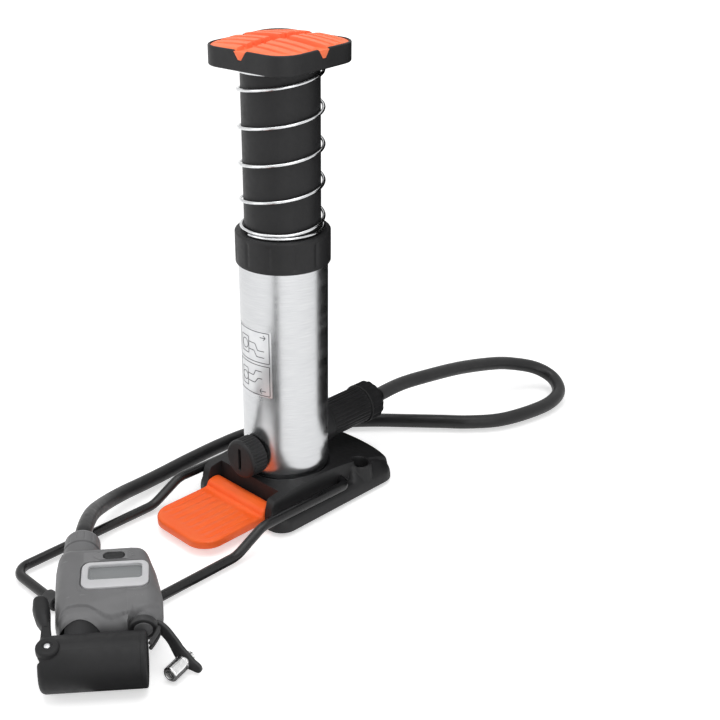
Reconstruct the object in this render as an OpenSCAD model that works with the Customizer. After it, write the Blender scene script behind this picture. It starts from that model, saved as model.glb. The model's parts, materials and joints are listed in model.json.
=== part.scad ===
// Compact upright foot pump for bicycle tyres, with folding wire stand,
// folding foot tab, hose and a digital gauge head. Units: mm, +Z up.
// Origin: barrel axis at floor level. -Y is the side of the tab and stand,
// +Y is the side where the hose leaves.

/* [Barrel and collar] */
// outside diameter of the barrel tube
barrel_d = 45; // [40:0.5:55]
// wall thickness of the barrel tube
barrel_wall = 1.6; // [1.2:0.1:2.5]
// height of the lower edge of the screw collar
collar_low = 133; // [115:1:150]
// height of the screw collar
collar_h = 16.5; // [12:0.5:22]
// wall of the screw collar over the barrel
collar_wall = 1.4; // [1:0.1:3]

/* [Piston and spring] */
// outside diameter of the piston tube
tube_d = 38.2; // [32:0.2:40]
// wall thickness of the piston tube
tube_wall = 1.8; // [1.2:0.1:3]
// wire diameter of the return spring
spring_wire = 1.6; // [1.2:0.1:2.2]
// radial gap between piston tube and spring
spring_gap = 0.6; // [0.4:0.1:1.5]
// piston stroke
stroke = 70; // [50:1:75]

/* [Pedal] */
// side length of the square pedal
pedal_w = 54.5; // [44:0.5:66]
// height of the pedal's lower face at rest
pedal_low = 231; // [220:1:245]
// height of the pedal shell
pedal_h = 9.5; // [8:0.5:14]
// corner radius of the pedal
pedal_r = 12; // [6:0.5:20]
// turn of the pedal about the barrel axis, in degrees
pedal_turn = 5; // [-45:1:45]
// height of the crowned rubber pad over the shell's rim
pad_rise = 2.5; // [1:0.25:4]

/* [Base] */
// width of the base
base_w = 70; // [64:1:84]
// reach of the base in front of the barrel axis
base_front = 37; // [34:0.5:44]
// reach of the base behind the barrel axis
base_rear = 58; // [50:1:70]
// height of the side ledges under the stand's legs
ledge_h = 8.2; // [6:0.1:10]
// height of the crowned deck at its top
deck_h = 20; // [18:0.5:24]
// height of the rubber feet under the base's rim
foot_h = 0.8; // [0.4:0.1:1.5]

/* [Wire stand] */
// rod diameter of the wire stand
rod_d = 5; // [4:0.25:6]
// distance between the two legs, centre to centre
stand_w = 67; // [64:1:74]
// reach of the crossbar in front of the barrel axis
stand_reach = 152; // [130:1:170]
// distance of the stand's pivot behind the barrel axis
pivot_y = 13; // [8:0.5:16]
// length of the rubber sleeve on the crossbar
sleeve_len = 8; // [6:1:50]

/* [Foot tab] */
// width of the foot tab
tab_w = 44.4; // [38:0.2:46]
// reach of the foot tab in front of the barrel axis
tab_reach = 78; // [70:1:90]
// thickness of the foot tab's plate
tab_t = 5; // [3.5:0.25:6]

/* [Valve cap and hose gland] */
// height of the cross port's axis
port_z = 30.5; // [28:0.5:33]
// diameter of the ribbed valve cap
cap_d = 21; // [16:0.5:22]
// length of the valve cap outside the barrel
cap_len = 10.5; // [7:0.5:12]
// diameter of the hose gland
gland_d = 20.6; // [16:0.2:21]
// reach of the gland nut behind the barrel axis
gland_end = 67; // [58:1:72]

/* [Hose] */
// outside diameter of the hose
hose_d = 8; // [6:0.5:10]

/* [Gauge head] */
// diameter of the nozzle cylinder
nozzle_d = 24.5; // [20:0.5:28]
// length of the nozzle cylinder
nozzle_len = 45.6; // [40:0.2:52]
// diameter of the valve socket, for a tyre valve stem 7.7 wide
socket_d = 8; // [7.9:0.05:8.4]
// thickness of the head's body above its parting plane
head_up = 12.8; // [12:0.2:15]
// thickness of the head's body below its parting plane
head_down = 11.4; // [9:0.1:11.4]
// width of the display window
window_w = 24; // [18:0.5:26]
// height of the display window
window_h = 9; // [7:0.5:11]
// outside diameter of the hose collar on the head
mouth_d = 17.4; // [14:0.2:20]

/* [Hidden] */
$fn = 64;

// named clearances
fit = 0.02;
run = 0.05;
seat = 0.3;

barrel_r = barrel_d / 2;
bore_r = barrel_r - barrel_wall;
collar_r = barrel_r + collar_wall;
collar_top = collar_low + collar_h;
collar_plate = 3.5;
barrel_top = collar_top - collar_plate;
barrel_low = 14;
tube_r = tube_d / 2;
tube_in = tube_r - tube_wall;
tube_top = pedal_low + 5;
bush_low = barrel_top - 19.7;
head_top = bush_low - seat;
tube_low = head_top;
piston_low = head_top - 4.3;
plug_top = 43;
coil_r = tube_r + spring_gap + spring_wire / 2;
rod_r = rod_d / 2;
leg_x = stand_w / 2;
leg_z = ledge_h + 0.3 + rod_r;
pivot_z = leg_z;
core_x = leg_x - rod_r - 3;
ear_in = tab_w / 2 + seat;
tab_y = base_front - 4;
tab_z = 6.5;
hump_r = 5.5;
pin_r = 1.5;
port_r = 5;
hose_r = hose_d / 2;
noz_r = nozzle_d / 2;
noz_l = nozzle_len / 2;
socket_r = socket_d / 2;

// the head's own frame: x along the nozzle, y towards the hose, z out of the display
head_x = 61.4;
head_y = -170.8;
head_z = max(noz_r, head_down + 0.85);
head_turn = 51.2;
head_tilt = 9;
mouth_x = -8.7;
mouth_y = 76;
mouth_r = mouth_d / 2;
win_x = 8.6;
win_y = 39.5;
win_shift = 1.7;
button_x = win_x - 0.8;
button_y = 51.2;
pcb_z = head_up - 5;

black = [0.09, 0.09, 0.09];
orange = [1.0, 0.36, 0.13];
steel = [0.78, 0.78, 0.8];
alu = [0.8, 0.81, 0.82];
grey = [0.36, 0.36, 0.37];
pale = [0.78, 0.78, 0.78];
rubber = [0.06, 0.06, 0.06];
brass = [0.72, 0.58, 0.3];

// ---- small helpers ----
function arcp(cx, cy, r, a0, a1, n) =
  [for (i = [0:n]) [cx + r * cos(a0 + (a1 - a0) * i / n), cy + r * sin(a0 + (a1 - a0) * i / n)]];
function unit(v) = v / norm(v);
function crom(p0, p1, p2, p3, t) = 0.5 * ((2 * p1) + (p2 - p0) * t
  + (2 * p0 - 5 * p1 + 4 * p2 - p3) * t * t + (3 * p1 - p0 - 3 * p2 + p3) * t * t * t);
function pick(p, i) = p[max(0, min(len(p) - 1, i))];
function route(p, m) = concat([for (i = [0:len(p) - 2]) for (j = [0:m - 1])
  crom(pick(p, i - 1), p[i], p[i + 1], pick(p, i + 2), j / m)], [p[len(p) - 1]]);
function tang(p, i) = unit(pick(p, i + 1) - pick(p, i - 1));

// a round tube along a list of points, closed by a flat face at each end
module sweep(p, r, n) {
  m = len(p);
  pts = [for (i = [0:m - 1]) let(t = tang(p, i), s = unit(cross(t, [0, 0, 1])), u = cross(s, t))
    for (k = [0:n - 1]) p[i] + r * (cos(360 * k / n) * s + sin(360 * k / n) * u)];
  sides = [for (i = [0:m - 2]) for (k = [0:n - 1])
    [i * n + k, i * n + (k + 1) % n, (i + 1) * n + (k + 1) % n, (i + 1) * n + k]];
  caps = [[for (k = [n - 1:-1:0]) k], [for (k = [0:n - 1]) (m - 1) * n + k]];
  polyhedron(points = pts, faces = concat(sides, caps), convexity = 10);
}

// rounded rectangle, exact arcs
module rrect(w, d, r) {
  square([w - 2 * r, d], center = true);
  square([w, d - 2 * r], center = true);
  for (x = [-1, 1])
    for (y = [-1, 1])
      translate([x * (w / 2 - r), y * (d / 2 - r)]) circle(r = r);
}

// pill outline along x
module pill(w, d) {
  square([w - d, d], center = true);
  for (x = [-1, 1])
    translate([x * (w - d) / 2, 0]) circle(d = d);
}

// cylinder along +Y from y0 to y1
module ycyl(r, y0, y1) {
  translate([0, y1, 0]) rotate([90, 0, 0]) cylinder(r = r, h = y1 - y0);
}

// cylinder along +X from x0 to x1
module xcyl(r, x0, x1) {
  translate([x0, 0, 0]) rotate([0, 90, 0]) cylinder(r = r, h = x1 - x0);
}

// places local head shapes in the shared frame
module head_place() {
  translate([head_x, head_y, head_z]) rotate([0, 0, head_turn]) rotate([head_tilt, 0, 0]) children();
}

// ---- base ----
rear_arc = 59.5;
rear_c = base_rear - rear_arc;
corner_r = 8;
corner_x = base_w / 2 - corner_r;
corner_dy = sqrt(pow(rear_arc - corner_r, 2) - pow(corner_x, 2));
corner_a = atan2(corner_dy, corner_x);

// base outline at floor level, moved in by e
module base_plan(e) {
  polygon(concat(
    arcp(base_w / 2 - 9, 9 - base_front, 9 - e, -90, 0, 10),
    arcp(corner_x, rear_c + corner_dy, corner_r - e, 0, corner_a, 8),
    arcp(0, rear_c, rear_arc - e, corner_a, 180 - corner_a, 24),
    arcp(-corner_x, rear_c + corner_dy, corner_r - e, 180 - corner_a, 180, 8),
    arcp(9 - base_w / 2, 9 - base_front, 9 - e, 180, 270, 10)));
}

screw_x = 27;
screw_y = 29;

module base_plate() {
  color(black) difference() {
    union() {
      translate([0, 0, foot_h]) linear_extrude(ledge_h - foot_h) base_plan(0);
      intersection() {
        translate([0, 0, foot_h]) linear_extrude(deck_h) base_plan(1);
        translate([0, -5, deck_h - 170]) xcyl(170, -50, 50);
        union() {
          translate([-core_x, -60, 0]) cube([2 * core_x, 120, 40]);
          translate([-60, 20, 0]) cube([120, 60, 40]);
        }
      }
      for (s = [-1, 1])
        translate([s * (ear_in + core_x) / 2, 0, 0]) intersection() {
          translate([-(core_x - ear_in) / 2, -base_front - 1.5, 2]) cube([core_x - ear_in, 14, 14.5]);
          translate([0, -tab_y, tab_z + 2]) xcyl(8.5, -5, 5);
        }
    }
    // space for the foot tab between the ears
    translate([-ear_in, -base_front - 10, -1]) cube([2 * ear_in, 10 + base_front - tab_y + hump_r + 0.5, 40]);
    // barrel seat and its flat ring
    translate([0, 0, barrel_low]) cylinder(r = barrel_r + 0.02, h = 20, $fn = 96);
    translate([0, 0, deck_h - 1.8]) cylinder(r = barrel_r + 1.8, h = 20, $fn = 96);
    // stand pivots
    translate([0, pivot_y, pivot_z]) xcyl(rod_r + run, core_x - 8, 60);
    translate([0, pivot_y, pivot_z]) xcyl(rod_r + run, -60, 8 - core_x);
    // tab pin
    translate([0, -tab_y, tab_z]) xcyl(pin_r + fit, -core_x + 0.8, core_x - 0.8);
    // barrel bolt
    translate([0, 0, -1]) cylinder(r = 3.2, h = 30);
    translate([0, 0, -1]) cylinder(r = 6.5, h = 9);
    // hollow underside between rim, centre boss and bars
    difference() {
      translate([0, 0, -1]) linear_extrude(6.5) base_plan(3);
      translate([0, 0, -2]) cylinder(r = 11, h = 20);
      for (s = [-1, 1]) {
        translate([s * screw_x, screw_y, -2]) cylinder(r = 4.5, h = 20);
        translate([s * 24, 40, -2]) cylinder(r = 6.5, h = 20);
        translate([s * 25, -20, -2]) cylinder(r = 6.5, h = 20);
        translate([s * 12 - 1, -60, -2]) cube([2, 120, 20]);
      }
      translate([-60, -1, -2]) cube([120, 2, 20]);
      translate([-60, 22, -2]) cube([120, 2, 20]);
      translate([-60, -tab_y + hump_r - 1, -2]) cube([120, 4, 20]);
    }
    for (s = [-1, 1]) {
      // screw pockets near the rear corners
      translate([s * screw_x, screw_y, 9.5]) cylinder(r = 4.2, h = 20);
      translate([s * screw_x, screw_y, 2]) cylinder(r = 1.5, h = 20);
      // seats for the rubber feet
      translate([s * 24, 40, -1]) cylinder(r = 4.5, h = 3.5);
      translate([s * 25, -20, -1]) cylinder(r = 4.5, h = 3.5);
    }
  }
}

// four feet, and the round cover under the barrel's bolt
module base_feet() {
  color(rubber) {
    for (s = [-1, 1]) {
      translate([s * 24, 40, 0]) cylinder(r = 4.5, h = 2.5);
      translate([s * 25, -20, 0]) cylinder(r = 4.5, h = 2.5);
    }
    cylinder(r = 6.4, h = 4.4);
  }
}

module base_screws() {
  color(steel) for (s = [-1, 1])
    translate([s * screw_x, screw_y, 0]) difference() {
      union() {
        translate([0, 0, 2]) cylinder(r = 1.5, h = 8);
        translate([0, 0, 9.5]) cylinder(r1 = 3.4, r2 = 2.6, h = 2.2);
      }
      for (a = [0, 90])
        rotate([0, 0, a]) translate([-2, -0.4, 10.7]) cube([4, 0.8, 2]);
    }
}

// ---- barrel ----
module barrel_tube() {
  color(alu) difference() {
    translate([0, 0, barrel_low]) cylinder(r = barrel_r, h = barrel_top - barrel_low, $fn = 96);
    translate([0, 0, 0]) cylinder(r = bore_r, h = 200, $fn = 96);
    translate([0, 0, port_z]) ycyl(port_r, -40, 40);
  }
}

module barrel_plug() {
  color(alu) difference() {
    translate([0, 0, barrel_low]) cylinder(r = bore_r - fit, h = plug_top - barrel_low, $fn = 96);
    translate([0, 0, port_z]) ycyl(port_r, -40, 40);
    translate([0, 0, port_z]) cylinder(r = 2.5, h = 30);
    translate([0, 0, 0]) cylinder(r = 3, h = 24);
    translate([0, 0, 38]) difference() {
      cylinder(r = 30, h = 2);
      translate([0, 0, -1]) cylinder(r = bore_r - 1.7, h = 4, $fn = 96);
    }
  }
}

module plug_o_ring() {
  color(rubber) translate([0, 0, 38]) difference() {
    cylinder(r = bore_r - fit, h = 2, $fn = 96);
    translate([0, 0, -1]) cylinder(r = bore_r - 1.7, h = 4, $fn = 96);
  }
}

module barrel_bolt() {
  color(steel) difference() {
    union() {
      translate([0, 0, 4.5]) cylinder(r = 5.5, h = 3.5);
      translate([0, 0, 8]) cylinder(r = 3 - fit, h = 15.5);
    }
    translate([0, 0, 4]) cylinder(r = 2.3, h = 2.5, $fn = 6);
  }
}

module barrel_collar() {
  color(black) difference() {
    union() {
      translate([0, 0, collar_low]) cylinder(r = collar_r, h = collar_h - 1, $fn = 96);
      translate([0, 0, collar_top - 1]) cylinder(r1 = collar_r, r2 = collar_r - 1, h = 1, $fn = 96);
    }
    translate([0, 0, collar_low - 1]) cylinder(r = barrel_r + fit, h = collar_h - collar_plate + 1, $fn = 96);
    cylinder(r = tube_r + run, h = 200, $fn = 96);
    for (i = [0:11])
      rotate([0, 0, 30 * i]) translate([collar_r - 0.35, -0.6, collar_low + 3]) cube([2, 1.2, collar_h - 6]);
  }
}

module guide_bush() {
  color(pale) difference() {
    translate([0, 0, bush_low]) cylinder(r = bore_r - fit, h = barrel_top - bush_low, $fn = 96);
    cylinder(r = tube_r + run, h = 200, $fn = 96);
  }
}

// thin curved picture panel on the barrel, no lettering
module info_label() {
  color(pale) intersection() {
    translate([0, 0, 65.5]) difference() {
      cylinder(r = barrel_r + 0.15, h = 36.5, $fn = 96);
      translate([0, 0, -1]) cylinder(r = barrel_r + fit, h = 40, $fn = 96);
    }
    linear_extrude(200)
      polygon([[0, 0], [40 * cos(-60), 40 * sin(-60)], [0, -46.2], [40 * cos(-120), 40 * sin(-120)]]);
  }
}

// ---- gland and hose ----
nut_y = gland_end - 11;
hose_start = 40;

module hose_gland() {
  color(black) translate([0, 0, port_z]) difference() {
    union() {
      ycyl(gland_d / 2, 12, nut_y);
      ycyl(gland_d / 2 + 1, 12, 26.5);
    }
    translate([0, 0, -50]) cylinder(r = barrel_r + fit, h = 100, $fn = 96);
    ycyl(hose_r + 0.1, hose_start - 4, 80);
    ycyl(3 + fit, 0, 80);
  }
}

module gland_nut() {
  color(black) translate([0, 0, port_z]) difference() {
    union() {
      ycyl(gland_d / 2 + 0.9, nut_y, gland_end - 2);
      translate([0, gland_end, 0]) rotate([90, 0, 0])
        cylinder(r1 = gland_d / 2 - 1.6, r2 = gland_d / 2 + 0.9, h = 2);
    }
    ycyl(hose_r + 0.1, nut_y - 1, 90);
    for (i = [0:5])
      rotate([0, 60 * i + 30, 0]) translate([gland_d / 2 + 0.4, nut_y + 2, -2.5]) cube([3, 7, 5]);
  }
}

module gland_barb() {
  color(brass) translate([0, 0, port_z]) difference() {
    union() {
      ycyl(3, 10, hose_start);
      ycyl(port_r - fit, 10, bore_r);
    }
    ycyl(1.5, 0, 80);
  }
}

// hose route, chosen by hand: out of the gland, one open loop behind the pump,
// along the floor on the left and up over the stand's leg into the head's collar
hose_route = [[0, hose_start, port_z], [0, 54, port_z], [0, 70, port_z], [-1, 93, 30], [1, 118, 28],
  [3, 142, 25], [7, 166, 21], [11, 181, 17.5], [20, 195, 13], [31, 199, 8.5], [41.5, 191.5, 5.4],
  [45.5, 177, 4.1], [44, 158, 4.1], [38, 138, 4.1], [27, 123, 4.1], [14, 111, 4.1], [1, 99, 4.1],
  [-12, 87, 4.1], [-24, 74, 4.1], [-38, 57, 4.1], [-49, 38, 4.1], [-54.5, 18, 4.1], [-55.6, 0, 4.1],
  [-55.3, -16, 4.1], [-54.5, -31, 4.1], [-53, -46, 4.2], [-51, -61, 4.6], [-48.5, -74, 5.8],
  [-43.5, -86, 7.8], [-36.5, -97, 10], [-26, -109.5, 15], [-15.5, -120.5, 21.4]];
mouth_dir = [-sin(head_turn) * cos(head_tilt), cos(head_turn) * cos(head_tilt), sin(head_tilt)];
mouth_pos = [head_x + mouth_x * cos(head_turn), head_y + mouth_x * sin(head_turn), head_z]
  + mouth_y * mouth_dir;
hose_path = concat(route(concat(hose_route, [mouth_pos + 2 * mouth_dir]), 2), [mouth_pos - 3 * mouth_dir,
  mouth_pos - 8 * mouth_dir]);

module hose() {
  color(rubber) sweep(hose_path, hose_r, 12);
}

module tab_pin() {
  color(steel) translate([0, -tab_y, tab_z]) xcyl(pin_r, -core_x + 0.8, core_x - 0.8);
}

// ---- return spring: closed end coils, four open coils ----
sp_low = collar_top + spring_wire / 2 + 0.02;
sp_high = pedal_low - spring_wire / 2 - 0.02;
sp_closed = spring_wire + 0.08;
sp_turns = 6.62;
sp_dead = 1.2;
sp_phase = -98;
sp_pitch = (sp_high - sp_low - 2 * sp_dead * sp_closed) / (sp_turns - 2 * sp_dead);
function sp_z(t) = t < sp_dead ? sp_low + t * sp_closed
  : t > sp_turns - sp_dead ? sp_high - (sp_turns - t) * sp_closed
  : sp_low + sp_dead * sp_closed + (t - sp_dead) * sp_pitch;
sp_steps = 160;
sp_path = [for (i = [0:sp_steps]) let(t = sp_turns * i / sp_steps)
  [coil_r * cos(360 * t + sp_phase), coil_r * sin(360 * t + sp_phase), sp_z(t)]];

module return_spring() {
  color(steel) sweep(sp_path, spring_wire / 2, 8);
}

// ---- piston ----
module piston_tube() {
  color(black) difference() {
    translate([0, 0, tube_low]) cylinder(r = tube_r, h = tube_top - tube_low, $fn = 96);
    translate([0, 0, tube_low - 1]) cylinder(r = tube_in, h = 200, $fn = 96);
  }
}

module piston_head() {
  color(pale) difference() {
    union() {
      translate([0, 0, piston_low]) cylinder(r = bore_r - 0.1, h = head_top - piston_low, $fn = 96);
      translate([0, 0, head_top]) cylinder(r = tube_in - fit, h = 12, $fn = 96);
    }
    translate([0, 0, piston_low + 1]) difference() {
      cylinder(r = 40, h = 2.4);
      translate([0, 0, -1]) cylinder(r = bore_r - 1.8, h = 5, $fn = 96);
    }
    translate([0, 0, piston_low + 5]) cylinder(r = tube_in - 3, h = 20);
  }
}

module piston_seal() {
  color(rubber) translate([0, 0, piston_low + 1]) difference() {
    cylinder(r = bore_r - run, h = 2.4, $fn = 96);
    translate([0, 0, -1]) cylinder(r = bore_r - 1.8, h = 5, $fn = 96);
  }
}

module tube_plug() {
  color(pale) difference() {
    translate([0, 0, tube_top - 14]) cylinder(r = tube_in - fit, h = 14, $fn = 96);
    translate([0, 0, tube_top - 15]) cylinder(r = screw_r + fit, h = 20);
  }
}

pedal_top = pedal_low + pedal_h;
pad_low = pedal_top - 3;
screw_r = 2;
vee_w = 4;
vee_h = 4.4;

// holds the pedal on the tube's plug, under the pad
module pedal_screw() {
  color(steel) {
    translate([0, 0, tube_top - 12]) cylinder(r = screw_r, h = pad_low - tube_top + 12);
    translate([0, 0, pad_low]) cylinder(r = 4, h = 1.3);
  }
}

// the four V-shaped notches in the middle of the pedal's sides
module vees(e) {
  for (a = [0, 90])
    rotate([90, 0, a]) translate([0, pedal_top, -pedal_w / 2 - e]) linear_extrude(pedal_w + 2 * e)
      polygon([[-vee_w, 1], [-vee_w, 0], [-1, -vee_h], [1, -vee_h], [vee_w, 0], [vee_w, 1]]);
}

module pedal_shell() {
  color(black) rotate([0, 0, pedal_turn]) difference() {
    translate([0, 0, pedal_low]) linear_extrude(pedal_h) rrect(pedal_w, pedal_w, pedal_r);
    translate([0, 0, pad_low]) linear_extrude(5) rrect(pedal_w - 2.4, pedal_w - 2.4, pedal_r - 1.2);
    vees(1);
    translate([0, 0, pedal_low - 1]) cylinder(r = tube_r + fit, h = tube_top - pedal_low + 1, $fn = 96);
    translate([0, 0, pedal_low]) cylinder(r = screw_r + fit, h = 20);
    // hollow underside outside the socket
    translate([0, 0, pedal_low - 1]) linear_extrude(4.2) difference() {
      rrect(pedal_w - 5, pedal_w - 5, pedal_r - 2.5);
      circle(r = coil_r + 2.2);
    }
  }
}

module pedal_pad() {
  color(orange) rotate([0, 0, pedal_turn]) difference() {
    union() {
      translate([0, 0, pad_low]) linear_extrude(2.5)
        rrect(pedal_w - 2.4, pedal_w - 2.4, pedal_r - 1.2);
      intersection() {
        vees(0);
        linear_extrude(pedal_top - 0.5) rrect(pedal_w, pedal_w, pedal_r);
      }
      intersection() {
        translate([0, 0, pedal_top - 1]) linear_extrude(6) difference() {
          rrect(pedal_w - 2.4, pedal_w - 2.4, pedal_r - 1.2);
          square([80, 6], center = true);
          square([6, 80], center = true);
        }
        translate([0, 0, pedal_top + pad_rise - 175]) sphere(r = 175, $fn = 200);
      }
    }
    for (s = [-1, 1])
      for (y = [8, 14, 20])
        translate([-40, s * y - 0.9, pedal_top + 0.4]) cube([80, 1.8, 8]);
    translate([0, 0, pedal_low]) cylinder(r = 4.1, h = pad_low + 1.4 - pedal_low);
  }
}

// ---- valve cap ----
module valve_cap() {
  color(black) translate([0, 0, port_z]) difference() {
    union() {
      ycyl(port_r - run, -barrel_r - 1, -9);
      rotate([90, 0, 0]) translate([0, 0, barrel_r + seat]) linear_extrude(cap_len - 1)
        polygon([for (i = [0:95]) (cap_d / 2 - (i % 2) * 0.45) * [cos(i * 3.75), sin(i * 3.75)]]);
      translate([0, -barrel_r - seat - cap_len + 1, 0]) rotate([90, 0, 0])
        cylinder(r1 = cap_d / 2 - 0.3, r2 = cap_d / 2 - 1.3, h = 1);
    }
    translate([-1, -barrel_r - cap_len - 3, -6.5]) cube([2, 4.8, 13]);
    rotate([90, 0, 0]) translate([0, 0, 15]) difference() {
      cylinder(r = 9, h = 2);
      translate([0, 0, -1]) cylinder(r = port_r - 1.5, h = 4);
    }
  }
}

module cap_o_ring() {
  color(rubber) translate([0, 0, port_z]) rotate([90, 0, 0]) translate([0, 0, 15]) difference() {
    cylinder(r = port_r - 0.03, h = 2);
    translate([0, 0, -1]) cylinder(r = port_r - 1.5, h = 4);
  }
}

// ---- foot tab ----
tab_top = tab_z + 1.5;

module foot_tab() {
  color(orange) difference() {
    union() {
      translate([0, -tab_y, tab_z]) xcyl(hump_r, -tab_w / 2, tab_w / 2);
      translate([0, 0, tab_top - tab_t]) linear_extrude(tab_t) difference() {
        polygon(concat(
          [[tab_w / 2, -tab_y]],
          arcp(tab_w / 2 - 12, 12 - tab_reach, 12, 0, -90, 12),
          arcp(12 - tab_w / 2, 12 - tab_reach, 12, -90, -180, 12),
          [[-tab_w / 2, -tab_y]]));
      }
    }
    translate([0, -tab_y, tab_z]) xcyl(pin_r + run, -40, 40);
    // shallow grip grooves along the tab
    for (i = [-3:3])
      translate([i * 5 - 0.8, -tab_reach + 6, tab_top - 0.5]) cube([1.6, tab_reach - tab_y - hump_r - 9, 2]);
  }
}

// ---- wire stand ----
s_p1 = [-48, leg_z + 1];
s_p2 = [-66, rod_r];
bend_r = 15;
knee_r = 5;
front_r = 8;
d1 = unit(s_p1 - [pivot_y, pivot_z]);
d2 = unit(s_p2 - s_p1);
d3 = [-1, 0];
function ang(a, b) = acos(a * b);
function left(d) = [-d[1], d[0]];
t1 = bend_r * tan(ang(d1, d2) / 2);
t2 = bend_r * tan(ang(d2, d3) / 2);
c1 = s_p1 - d1 * t1 + left(d1) * bend_r;
c2 = s_p2 - d2 * t2 - left(d2) * bend_r;

k0 = [pivot_y, pivot_z] + d1 * knee_r;
// half of the stand's centre line, from the crossbar's middle to the pivot end
half_path = concat(
  [[0, -stand_reach, rod_r]],
  [for (p = arcp(leg_x - front_r, front_r - stand_reach, front_r, -90, 0, 8)) [p[0], p[1], rod_r]],
  [for (i = [0:5]) let(a = atan2(left(d3)[1], left(d3)[0]) + ang(d2, d3) * i / 5)
    [leg_x, c2[0] + bend_r * cos(a), c2[1] + bend_r * sin(a)]],
  [for (i = [5:-1:0]) let(a = atan2(-left(d1)[1], -left(d1)[0]) + ang(d1, d2) * i / 5)
    [leg_x, c1[0] + bend_r * cos(a), c1[1] + bend_r * sin(a)]],
  [for (i = [0:6]) let(a = 15 * i, q = k0 - d1 * knee_r * sin(a))
    [leg_x - knee_r + knee_r * cos(a), q[0], q[1]]],
  [[core_x - 7.5, pivot_y, pivot_z]]);
stand_path = concat([for (i = [len(half_path) - 1:-1:1]) let(p = half_path[i]) [-p[0], p[1], p[2]]],
  half_path);

module wire_stand() {
  color(black) sweep(stand_path, rod_r, 16);
}

module stand_sleeve() {
  color(rubber) translate([0, -stand_reach, rod_r]) difference() {
    xcyl(rod_r + 1.5, -sleeve_len / 2, sleeve_len / 2);
    xcyl(rod_r + fit, -50, 50);
  }
}

// ---- gauge head, in its own frame ----
// body outline seen from above the display, counter-clockwise
body_plan = concat(
  arcp(3, 15, 9, -120, -60, 4), [[18, 12.4], [25, 14.4]],
  arcp(24.4, 21, 5, -40, 0, 4), [[29.6, 27], [28.4, 36], [26.6, 46]],
  arcp(17.8, 55, 5, 10, 90, 6), arcp(-12.6, 55, 5, 90, 175, 6),
  [[-18.4, 48], [-18.2, 36], [-17, 24], [-16.2, 14], [-13, 10]]);
// the same seen from the nozzle, x and z
body_front = concat(
  arcp(21.6, head_up - 8, 8, 0, 90, 8), arcp(-10.4, head_up - 8, 8, 90, 180, 8),
  arcp(-11.4, 7 - head_down, 7, 180, 270, 6), arcp(22.6, 7 - head_down, 7, 270, 360, 6));
// the same seen from the side, y and z
body_side = concat(
  arcp(51, head_up - 9, 9, 0, 90, 8), [[20, head_up], [4, head_up - 0.6], [4, -6]],
  [[16, -head_down]], arcp(53, 7 - head_down, 7, 270, 360, 6));

// convex outline p moved in by e
function inset(p, e) = [for (i = [0:len(p) - 1])
  let(q = p[i], a = p[(i + len(p) - 1) % len(p)], b = p[(i + 1) % len(p)],
    n1 = unit([a[1] - q[1], q[0] - a[0]]), n2 = unit([q[1] - b[1], b[0] - q[0]]))
  q + e * (n1 + n2) / (1 + n1 * n2)];

// smooth body, e makes it smaller all round
module body_solid(e) {
  intersection() {
    translate([0, 0, -40]) linear_extrude(80) polygon(inset(body_plan, e));
    translate([0, 100, 0]) rotate([90, 0, 0]) linear_extrude(140) polygon(inset(body_front, e));
    translate([-60, 0, 0]) rotate([90, 0, 90]) linear_extrude(140) polygon(inset(body_side, e));
  }
}

neck_x = -6.3;
neck_r = 9.4;
peg_x = 21.1;
peg_z = 4.3;
peg_r = 4.1;
notch_x = 14.5;
notch_y = 20.2;

module head_body() {
  difference() {
    union() {
      difference() {
        body_solid(0);
        // open corner around the strap's ring and peg
        translate([notch_x, -20, -50]) cube([50, 20 + notch_y, 100]);
      }
      translate([mouth_x, 0, 0]) ycyl(mouth_r, 52, mouth_y - 5);
      translate([mouth_x, 0, 0]) ycyl(mouth_r - 1.2, 60, mouth_y);
      translate([peg_x, 0, peg_z]) ycyl(peg_r, noz_r + seat, notch_y + 2);
    }
    difference() {
      body_solid(2);
      translate([-50, 0, -50]) cube([100, 15, 100]);
      translate([notch_x - 2, 0, -50]) cube([100, notch_y + 2, 100]);
      // ring around the battery
      translate([8, 36, -20]) difference() {
        cylinder(r = 12.2, h = 14);
        translate([0, 0, -1]) cylinder(r = 10.4, h = 20);
      }
    }
    // space for the nozzle and its neck
    xcyl(noz_r + seat, -60, 60);
    translate([neck_x, 0, 0]) ycyl(neck_r + 0.2, 0, 24.2);
    // hose and its barb
    translate([mouth_x, 0, 0]) ycyl(hose_r + 0.25, mouth_y - 8, 100);
    translate([mouth_x, 0, 0]) ycyl(3, 40, 100);
    // display
    translate([win_x, win_y, head_up - 1.3]) linear_extrude(5) rrect(window_w + 6, window_h + 7.4, 4);
    translate([win_x, win_y + win_shift, 0]) linear_extrude(30) rrect(window_w - 1.6, window_h - 1.6, 1.5);
    // button
    translate([button_x, button_y, 0]) linear_extrude(30) pill(9.8, 4.4);
    // battery door
    translate([8, 36, -20]) cylinder(r = 11.6, h = 20 - 9.2);
  }
}

post_pts = [[20.5, 27.6], [-8.5, 30], [-10.5, 47], [19, 49]];

module half_space(up) {
  translate([-60, -20, up ? 0 : -60]) cube([120, 120, 60]);
}

module head_upper() {
  color(grey) head_place() intersection() {
    head_body();
    half_space(true);
  }
}

module head_lower() {
  color(grey) head_place() difference() {
    union() {
      intersection() {
        head_body();
        half_space(false);
      }
      // posts under the circuit board
      for (p = post_pts)
        translate([p[0], p[1], 1 - head_down]) cylinder(r = 2.8, h = pcb_z + head_down - 1);
    }
    for (p = post_pts) {
      translate([p[0], p[1], -20]) cylinder(r = 0.9, h = 20 + pcb_z + 0.01);
      translate([p[0], p[1], -20]) cylinder(r = 1.9, h = 14);
    }
  }
}

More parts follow.
